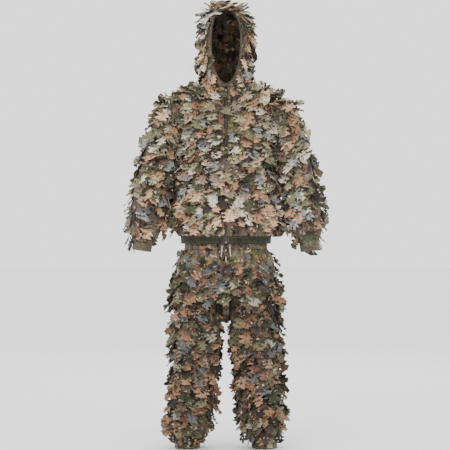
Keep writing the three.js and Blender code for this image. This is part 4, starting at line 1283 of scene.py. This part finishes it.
def upper_sleeve(side, rng):
    name = side_name(side)
    first, second = arm_row(side, SHOULDER, SLEEVE_HEAD), arm_row(side, ARMPIT, 0.059)
    rows = dome_rows(first, second, True) + [first, second, arm_row(side, UPPER_MID, 0.069)]
    surface = Surface(rows, 0.008, leaning=True)
    surface.wrinkle(0.006, 0.06, (1.0, 1.0, 1.6), 5.0 * side)
    piece = cloth(f"sleeve_head_{name}_cloth", surface, JACKET_CLOTH, lambda m: ~inside_torso(m, 0.008))
    mounts = leaf_mounts(surface, rng, ROW_GAP, LEAF_GAP, sleeve_leaf_cover(side))
    flaps = leaves(f"sleeve_head_{name}_leaves", mounts, JACKET_LEAF, 31 + side)
    parts = [f"upper_sleeve_front_{name}", f"upper_sleeve_back_{name}"]
    shoulder = ("jacket", f"upper_sleeve_{name}", *bent(SHOULDER_BLEND, side))
    body_panels = [f"jacket_front_{name}_cloth", "jacket_back_cloth"]
    finish_leafed(piece, flaps, parts, UPPER_SLEEVE_CUT, body_panels, blended=shoulder)


def lower_sleeve(side, rng):
    """The sleeve from inside the upper one's end down to the cuff, gathered at the wrist."""
    name = side_name(side)
    to_wrist = lambda share: tuple(a + share * (b - a) for a, b in zip(FOREARM, WRIST))
    sections = [
        ((UPPER_MID[0] - 0.0016, UPPER_MID[1] + 0.007), 0.0676),
        (ELBOW, 0.072),
        (FOREARM, 0.075),
        (to_wrist(0.5), 0.069),
        (to_wrist(0.8), 0.058),
        (WRIST, 0.0435),
    ]
    surface = Surface([arm_row(side, *section) for section in sections], 0.008, leaning=True)
    height = surface.points[:, :, 2] + WAIST
    cuffward = 1 - smoothstep(height, 0.885, 0.96)
    calm_top = smoothstep(UPPER_MID[1] - height, 0.0, 0.06)
    surface.wrinkle(0.008, 0.06, (1.0, 1.0, 1.5), 7.0 * side, calm_top * (1 - 0.5 * cuffward))
    surface.wrinkle(0.003, 0.028, (1.0, 1.0, 0.8), 8.0 * side)
    gathers(surface, 17, 0.0032, cuffward, side * 2.0)
    piece = cloth(f"sleeve_{name}_cloth", surface, JACKET_CLOTH)
    mounts = leaf_mounts(surface, rng, 0.027, 0.031, sleeve_leaf_cover(side))
    flaps = leaves(f"sleeve_{name}_leaves", mounts, JACKET_LEAF, 35 + side)
    parts = [f"lower_sleeve_front_{name}", f"lower_sleeve_back_{name}"]
    elbow = (f"upper_sleeve_{name}", f"lower_sleeve_{name}", *bent(ELBOW_BLEND, side))
    finish_leafed(piece, flaps, parts, LOWER_SLEEVE_CUT, [f"sleeve_head_{name}_cloth"], blended=elbow)


def wrist(side):
    """The cuff and its elastic, in line with the forearm."""
    name = side_name(side)
    lean = math.atan2(WRIST[0] - FOREARM[0], FOREARM[1] - WRIST[1])
    ends = [(WRIST[0] + d * math.sin(lean), WRIST[1] - d * math.cos(lean)) for d in (0.0004, 0.038)]
    rows = [arm_row(side, end, 0.041) for end in ends]
    body = f"lower_sleeve_{name}"
    cuff("wrist", name, rows, body, (30, 0.0011), leaning=True)


def sleeve(side):
    rng = np.random.default_rng(60 + side)
    upper_sleeve(side, rng)
    lower_sleeve(side, rng)
    wrist(side)


# ---------------------------------------------------------------- hood

HOOD_LOW, HOOD_TOP = 1.5366, 1.882
HOOD_BLEND = ((0.0, 0.0, 0.634), (0.0, 0.03, 0.78))
FACE_HALF, FACE_LOW, FACE_TOP = 0.060, 1.552, 1.860
FACE_HEM = 0.009
FACE_STEPS = 24  # points in each quarter of the face opening


def hood_rows():
    shape = [
        (1.012, 0.010, -0.012, 0.010),
        (1.0, 0.0312, -0.046, 0.035),
        (0.975, 0.0603, -0.078, 0.068),
        (0.92, 0.0832, -0.098, 0.098),
        (0.8, 0.0988, -0.110, 0.123),
        (0.6, 0.104, -0.112, 0.130),
        (0.35, 0.103, -0.108, 0.126),
        (0.14, 0.097, -0.098, 0.110),
        (0.0, 0.094, -0.090, 0.090),
    ]
    rows = []
    for share, width, front, back in shape:
        height = HOOD_LOW + share * (HOOD_TOP - HOOD_LOW)
        rows.append((0.0, (front + back) / 2, height, width, (back - front) / 2))
    return rows


def face_outline(grow):
    """The face opening's edge, seen from the front: a tall egg, wider at the brow than at the chin."""
    top, low, half = FACE_TOP + grow, FACE_LOW - grow, FACE_HALF + grow
    middle, tall = low + 0.56 * (top - low), top - low
    right = [
        ((0, low), (half * 0.5, low), (half * 0.98, low + 0.22 * tall), (half, middle)),
        ((half, middle), (half * 1.02, top - 0.12 * tall), (half * 0.62, top), (0, top)),
    ]
    points = []
    for a, b, c, d in right:
        for t in np.linspace(0, 1, FACE_STEPS + 1)[:-1]:
            shares = ((1 - t) ** 3, 3 * (1 - t) ** 2 * t, 3 * (1 - t) * t**2, t**3)
            points.append([sum(w * corner[k] for w, corner in zip(shares, (a, b, c, d))) for k in (0, 1)])
    points.append([0, top])
    mirrored = [[-x, z] for x, z in points[1:-1]][::-1]
    return np.array(points + mirrored)


def in_face(points, grow):
    """Which points in front of the hood's middle lie inside the face opening's edge."""
    outline = face_outline(grow)
    right = outline[outline[:, 0] >= -1e-9]
    right = right[np.argsort(right[:, 1])]
    height = points[..., 2] + WAIST
    half = np.interp(height, right[:, 1], right[:, 0], left=-1, right=-1)
    return (points[..., 1] < -0.01) & (np.abs(points[..., 0]) < half)


def hood():
    surface = Surface(hood_rows(), 0.0065, power=BODY_POWER)
    height = surface.points[:, :, 2] + WAIST
    calm = np.where(surface.points[:, :, 1] < -0.04, 0.25, 1.0) * smoothstep(height, 1.54, 1.6)
    surface.wrinkle(0.008, 0.075, (1.0, 1.0, 0.7), 2.0, calm)
    surface.wrinkle(0.003, 0.03, (1.0, 1.0, 1.0), 4.0, calm)
    piece = cloth("hood_cloth", surface, JACKET_CLOTH, lambda m: ~in_face(m, 0.004), cap=True)
    rng = np.random.default_rng(77)
    at_edge = lambda place, normal: 0.0 if in_face(place, FACE_HEM + 0.006) else 0.97
    mounts = leaf_mounts(surface, rng, 0.024, 0.027, at_edge, lambda p: 0.88)
    flaps = leaves("hood_leaves", mounts, JACKET_LEAF, 51)
    turn = ("jacket", "hood", *HOOD_BLEND)
    parts = ["hood_crown", "hood_side_left", "hood_side_right"]
    finish_leafed(piece, flaps, parts, HOOD_CUT, ["neck_band_tape"], blended=turn)
    hood_hem(turn)


# The folded hem's cross-section: share of its width out from the opening, and how far it stands proud.
# It goes round the outer layer, over the fold at the opening's edge, and back inside the two layers.
FOLDED_HEM = [(1.0, 0.0013), (0.7, 0.0030), (0.35, 0.0034), (0.07, 0.0024), (0.0, 0.0002)]
FOLDED_HEM += [(0.06, -0.0022), (0.5, -0.0027), (1.0, -0.0024), (1.0, -0.0016), (0.5, -0.0018)]
FOLDED_HEM += [(0.12, -0.0013), (0.08, 0.0001), (0.12, 0.0015), (0.35, 0.0025), (0.7, 0.0021), (1.0, 0.0005)]


STITCH_PROUD = 0.0031  # the hem's stitches stand this far before the hood's face


def hood_hem(turn):
    """The hem round the face opening: a strip folded over the hood's edge."""
    inner, outer = face_outline(0.0), face_outline(FACE_HEM)
    build = bmesh.new()
    rings = []
    for i, (a, b) in enumerate(zip(inner, outer)):
        ripple = 0.0008 * math.sin(i * 1.3) + 0.0006 * math.sin(i * 2.9)
        ring = []
        for share, proud in FOLDED_HEM:
            x, height = a + share * (b - a)
            y = front_at(hood_rows(), x, height) - proud - ripple * share
            ring.append(build.verts.new((x, y, height - WAIST)))
        rings.append(ring)
    for i, ring in enumerate(rings):
        after = rings[(i + 1) % len(rings)]
        for k in range(len(FOLDED_HEM)):
            j = (k + 1) % len(FOLDED_HEM)
            build.faces.new([ring[k], ring[j], after[j], after[k]])
    bmesh.ops.recalc_face_normals(build, faces=build.faces)
    hem = smooth(link("hood_face_hem_folded", mesh_of("hood_face_hem_folded", build), HEM_TRIM))
    finish_piece(hem, "cuff_cloth", ["hood_face_hem"], blended=turn)
    edge = inner + 0.78 * (outer - inner)
    closed = np.vstack([edge, edge[:1]])
    points = np.array([(x, front_at(hood_rows(), x, z) - STITCH_PROUD, z - WAIST) for x, z in closed])
    stitches = stitch_line("hood_face_stitches", points, np.tile([0.0, -1.0, 0.0], (len(points), 1)))
    finish_piece(stitches, "cuff_cloth", blended=turn)


# ---------------------------------------------------------------- trousers

HIP_BLEND = ((0.0, -0.290), (0.150, -0.390))
KNEE_BLEND = ((0.134, -0.565), (0.134, -0.675))
HIP, KNEE = 0.602, 0.285


def seat_rows():
    shape = [
        (0.0, 0.176, 0.111, -0.006),
        (0.08, 0.192, 0.119, -0.0042),
        (0.2, 0.208, 0.124, -0.0024),
        (0.45, 0.218, 0.129, 0.0),
        (0.75, 0.222, 0.131, 0.0),
        (1.05, 0.222, 0.131, 0.0),
    ]
    tall = SEAT_TOP - SEAT_LOW_BACK
    return [(0.0, y, SEAT_TOP - tall * share, width, depth) for share, width, depth, y in shape]


def seat_edge(y):
    """The height of the seat's lower edge, which falls from the front to the back."""
    return SEAT_LOW_FRONT + (SEAT_LOW_BACK - SEAT_LOW_FRONT) * (y + 0.131) / 0.262


def trouser_cover(place, normal):
    """Few leaves at the hips and the ankles, and dense rows between."""
    height = place[2] + WAIST
    if height > 0.80:
        return 0.15
    if abs(normal[0]) > 0.75 and height > 0.66:
        return 0.4
    if height > 0.765:
        return 0.6
    if height < 0.1:
        return 0.5
    return 0.97


def trouser_leaf_size(place):
    """Smaller leaves between the legs, at the hips and at the ankles."""
    height = place[2] + WAIST
    if abs(place[0]) < 0.06 and height < 0.64:
        return 0.55 if height > 0.5 else 0.7
    return 0.82 if height > 0.74 or height < 0.15 else 1.0


def seat_half(side):
    name = side_name(side)
    arc = (0.002, math.pi - 0.002) if side == LEFT else (math.pi + 0.002, 2 * math.pi - 0.002)
    surface = Surface(seat_rows(), 0.008, arc, BODY_POWER)
    height = surface.points[:, :, 2] + WAIST
    middle = smoothstep(np.abs(surface.points[:, :, 0]), 0.0, 0.04)
    below_band = 1 - smoothstep(height, 0.77, SEAT_TOP)
    surface.wrinkle(0.008, 0.09, (1.0, 1.0, 0.6), 13.0 * side, middle * below_band)
    surface.wrinkle(0.0025, 0.03, (1.0, 1.0, 0.8), 15.0 * side, middle)
    gathers(surface, 40, 0.0028, smoothstep(height, 0.78, SEAT_TOP) * middle, 4.0 * side)
    keep = lambda m: m[..., 2] + WAIST > seat_edge(m[..., 1]) - 0.012
    piece = cloth(f"seat_{name}_cloth", surface, TROUSER_CLOTH, keep)
    rng = np.random.default_rng(90 + side)
    above_edge = lambda p, n: trouser_cover(p, n) if p[2] + WAIST > seat_edge(p[1]) - 0.008 else 0.0
    mounts = leaf_mounts(surface, rng, ROW_GAP, LEAF_GAP, above_edge, trouser_leaf_size)
    flaps = leaves(f"seat_{name}_leaves", mounts, TROUSER_LEAF, 61 + side)
    turn = ("trousers", f"thigh_{name}", *bent(HIP_BLEND, side))
    parts = [f"seat_front_{name}", f"seat_back_{name}"]
    finish_leafed(piece, flaps, parts, SEAT_CUT, ["waistband_cloth"], blended=turn)
    pocket(side, turn)


MOUTH_TOP, MOUTH_LOW = 0.8314, 0.6914
WELT_WIDE, WELT_THICK = 0.006, 0.0022
BAG_TOP, BAG_TALL = 0.8404, 0.159
BAG_INSET = 0.0095  # the bag hangs this far inside the seat's face


def pocket(side, turn):
    """The pocket's two welts on the seat, and its flat bag behind them."""
    name = side_name(side)
    x = side * 0.150
    heights = np.linspace(MOUTH_TOP, MOUTH_LOW, 29)
    for part, offset in (("fore", -0.004), ("aft", 0.004)):
        at = x + offset
        points = [(at, front_at(seat_rows(), at, h) - WELT_THICK, h - WAIST) for h in heights]
        along = (1, side * 0.9, 0)
        title = f"pocket_welt_{part}_{name}"
        welt = strap(title, points, WELT_WIDE, WELT_THICK, along, TROUSER_CLOTH, FOLDED_STRAP)
        finish_piece(welt, "leaf_cloth", blended=turn)
    rows = []
    for share in (0.0, 0.25, 0.5, 0.75, 1.0):
        height = BAG_TOP - share * BAG_TALL
        width, depth, middle = section_at(seat_rows(), height)
        rows.append((0.0, middle, height, width - BAG_INSET, depth - BAG_INSET))
    near, far = (math.asin(min(1.0, (edge / 0.2) ** (BODY_POWER / 2))) for edge in (0.090, 0.186))
    arc = (near, far) if side == LEFT else (2 * math.pi - far, 2 * math.pi - near)
    surface = Surface(rows, 0.008, arc, BODY_POWER)
    bag = cloth(f"pocket_bag_{name}_cloth", surface, TAPE, thickness=0.001)
    finish_piece(bag, "tape_cloth", [f"pocket_bag_{name}"], blended=turn)


def leg(side):
    name = side_name(side)
    row = lambda x, height, width, depth: (side * x, 0.0, height, width, depth)
    first = row(0.113, HIP, 0.097, 0.106)
    rows = dome_rows(first, first, False) + [
        first,
        row(0.1172, 0.523, 0.097, 0.106),
        row(0.1256, 0.412, 0.096, 0.103),
        row(0.134, KNEE, 0.091, 0.098),
        row(0.1398, 0.2115, 0.089, 0.094),
        row(0.1543, 0.1184, 0.087, 0.090),
        row(0.1601, 0.0743, 0.0775, 0.0795),
        row(0.163, 0.0404, 0.0565, 0.0605),
    ]
    surface = Surface(rows, 0.0085)
    height = surface.points[:, :, 2] + WAIST
    inner = smoothstep(np.abs(surface.points[:, :, 0]), 0.015, 0.06)
    free = smoothstep(0.60 - height, 0.0, 0.1)
    cuffward = 1 - smoothstep(height, 0.05, 0.12)
    surface.wrinkle(0.008, 0.085, (1.0, 1.0, 1.2), 17.0 * side, free * inner * (1 - cuffward))
    surface.wrinkle(0.0035, 0.035, (1.0, 1.0, 1.0), 19.0 * side, free)
    gathers(surface, 19, 0.004, cuffward, 6.0 * side)
    # The cloth bags out over the ankle band.
    bag = smoothstep(height, 0.045, 0.075) * (1 - smoothstep(height, 0.1, 0.16))
    surface.push(bag * 0.006)
    keep = lambda m: m[..., 2] + WAIST < seat_edge(m[..., 1]) + 0.03
    piece = cloth(f"leg_{name}_cloth", surface, TROUSER_CLOTH, keep)
    rng = np.random.default_rng(120 + side)
    below = lambda p, n: trouser_cover(p, n) if p[2] + WAIST < seat_edge(p[1]) - 0.004 else 0.0
    mounts = leaf_mounts(surface, rng, ROW_GAP, LEAF_GAP, below, trouser_leaf_size)
    knee = (f"thigh_{name}", f"shin_{name}", *bent(KNEE_BLEND, side))
    flaps = leaves(f"leg_{name}_leaves", mounts, TROUSER_LEAF, 71 + side)
    parts = [f"{part}_{face}_{name}" for part in ("thigh", "shin") for face in ("front", "back")]
    finish_leafed(piece, flaps, parts, LEG_CUT, [f"seat_{name}_cloth"], blended=knee)
    rows = [row(0.163, 0.0396, 0.054, 0.058), row(0.165, 0.0006, 0.053, 0.057)]
    cuff("ankle", name, rows, f"shin_{name}", (34, 0.0012))


def gusset():
    """The strip of cloth between the legs, from the front of the seat to the back."""
    reach = 0.129
    line = [(-reach, 0.650), (-0.97 * reach, 0.617), (-0.6 * reach, 0.582), (0.0, 0.555)]
    line += [(0.6 * reach, 0.536), (0.97 * reach, 0.543), (reach, 0.556)]
    middle = curve_through([(0.0, y, z - WAIST) for y, z in line], np.linspace(0, 1, 60))
    across = np.linspace(-0.0135, 0.0135, 7)
    surface = Surface.through(middle[:, None, :] + across[None, :, None] * np.array([1.0, 0.0, 0.0]))
    piece = cloth("crotch_gusset_cloth", surface, TROUSER_CLOTH)
    finish_piece(piece, "leaf_cloth", ["crotch_gusset"], body="trousers")


def waist():
    body = "trousers"
    piece = band("waistband_cloth", WAIST_ROWS, body, ["waistband"], TROUSER_CLOTH, 90, 0.0011, BODY_POWER)
    rows = inset_rows(WAIST_ROWS, CASING_INSET, 0.06, 0.66)
    elastic_ring("waist_elastic", rows, body, BODY_POWER)
    hidden = inset_rows(WAIST_ROWS, 0.0066, 0.77, 0.77)[0]
    below = hidden - np.array([0, 0, CORD_DIAMETER, 0, 0])
    ring = Surface([hidden, below], 0.004, (0.14, 2 * math.pi - 0.14), BODY_POWER)
    cord_piece = tube("waist_drawcord_braid", ring.points[0], CORD_DIAMETER / 2, CORD)
    finish_piece(cord_piece, "cord", ["waist_drawcord"], body="trousers")


# ---------------------------------------------------------------- stage


def floor_material():
    material, recipe, shader = new_material("floor_paper", roughness=0.9, specular=0.1)
    place = object_place(recipe)
    tint = recipe.ramp(recipe.noise(place, 3.0), [(0.3, grey(0.93)), (0.7, grey(0.95))])
    set_colour(recipe, shader, tint)
    return material


def make_stage():
    build = bmesh.new()
    bmesh.ops.create_grid(build, x_segments=1, y_segments=1, size=30)
    bmesh.ops.translate(build, verts=build.verts, vec=(0, 0, FLOOR))
    link("floor", mesh_of("floor", build), floor_material())
    world = bpy.data.worlds.new("studio")
    world.use_nodes = True
    world.node_tree.nodes["Background"].inputs["Color"].default_value = (1, 1, 1, 1)
    world.node_tree.nodes["Background"].inputs["Strength"].default_value = 1.8
    bpy.context.scene.world = world
    lights = [
        ("key", (-2.2, -4.0, 2.6), 2.0, 90),
        ("fill", (2.6, -3.6, 1.2), 2.4, 25),
        ("rear", (0.5, 4.0, 2.8), 2.4, 60),
    ]
    for name, place, size, power in lights:
        data = bpy.data.lights.new(name, "AREA")
        data.size = size
        data.energy = power
        light = bpy.data.objects.new(name, data)
        light.location = place
        light.rotation_euler = (Vector(place) - Vector((0, 0, 0.1))).to_track_quat("Z", "Y").to_euler()
        bpy.context.scene.collection.objects.link(light)


jacket_body()
jacket_trim()
zip_pieces()
for side in (LEFT, RIGHT):
    sleeve(side)
hood()
for side in (LEFT, RIGHT):
    seat_half(side)
    leg(side)
gusset()
waist()
make_stage()
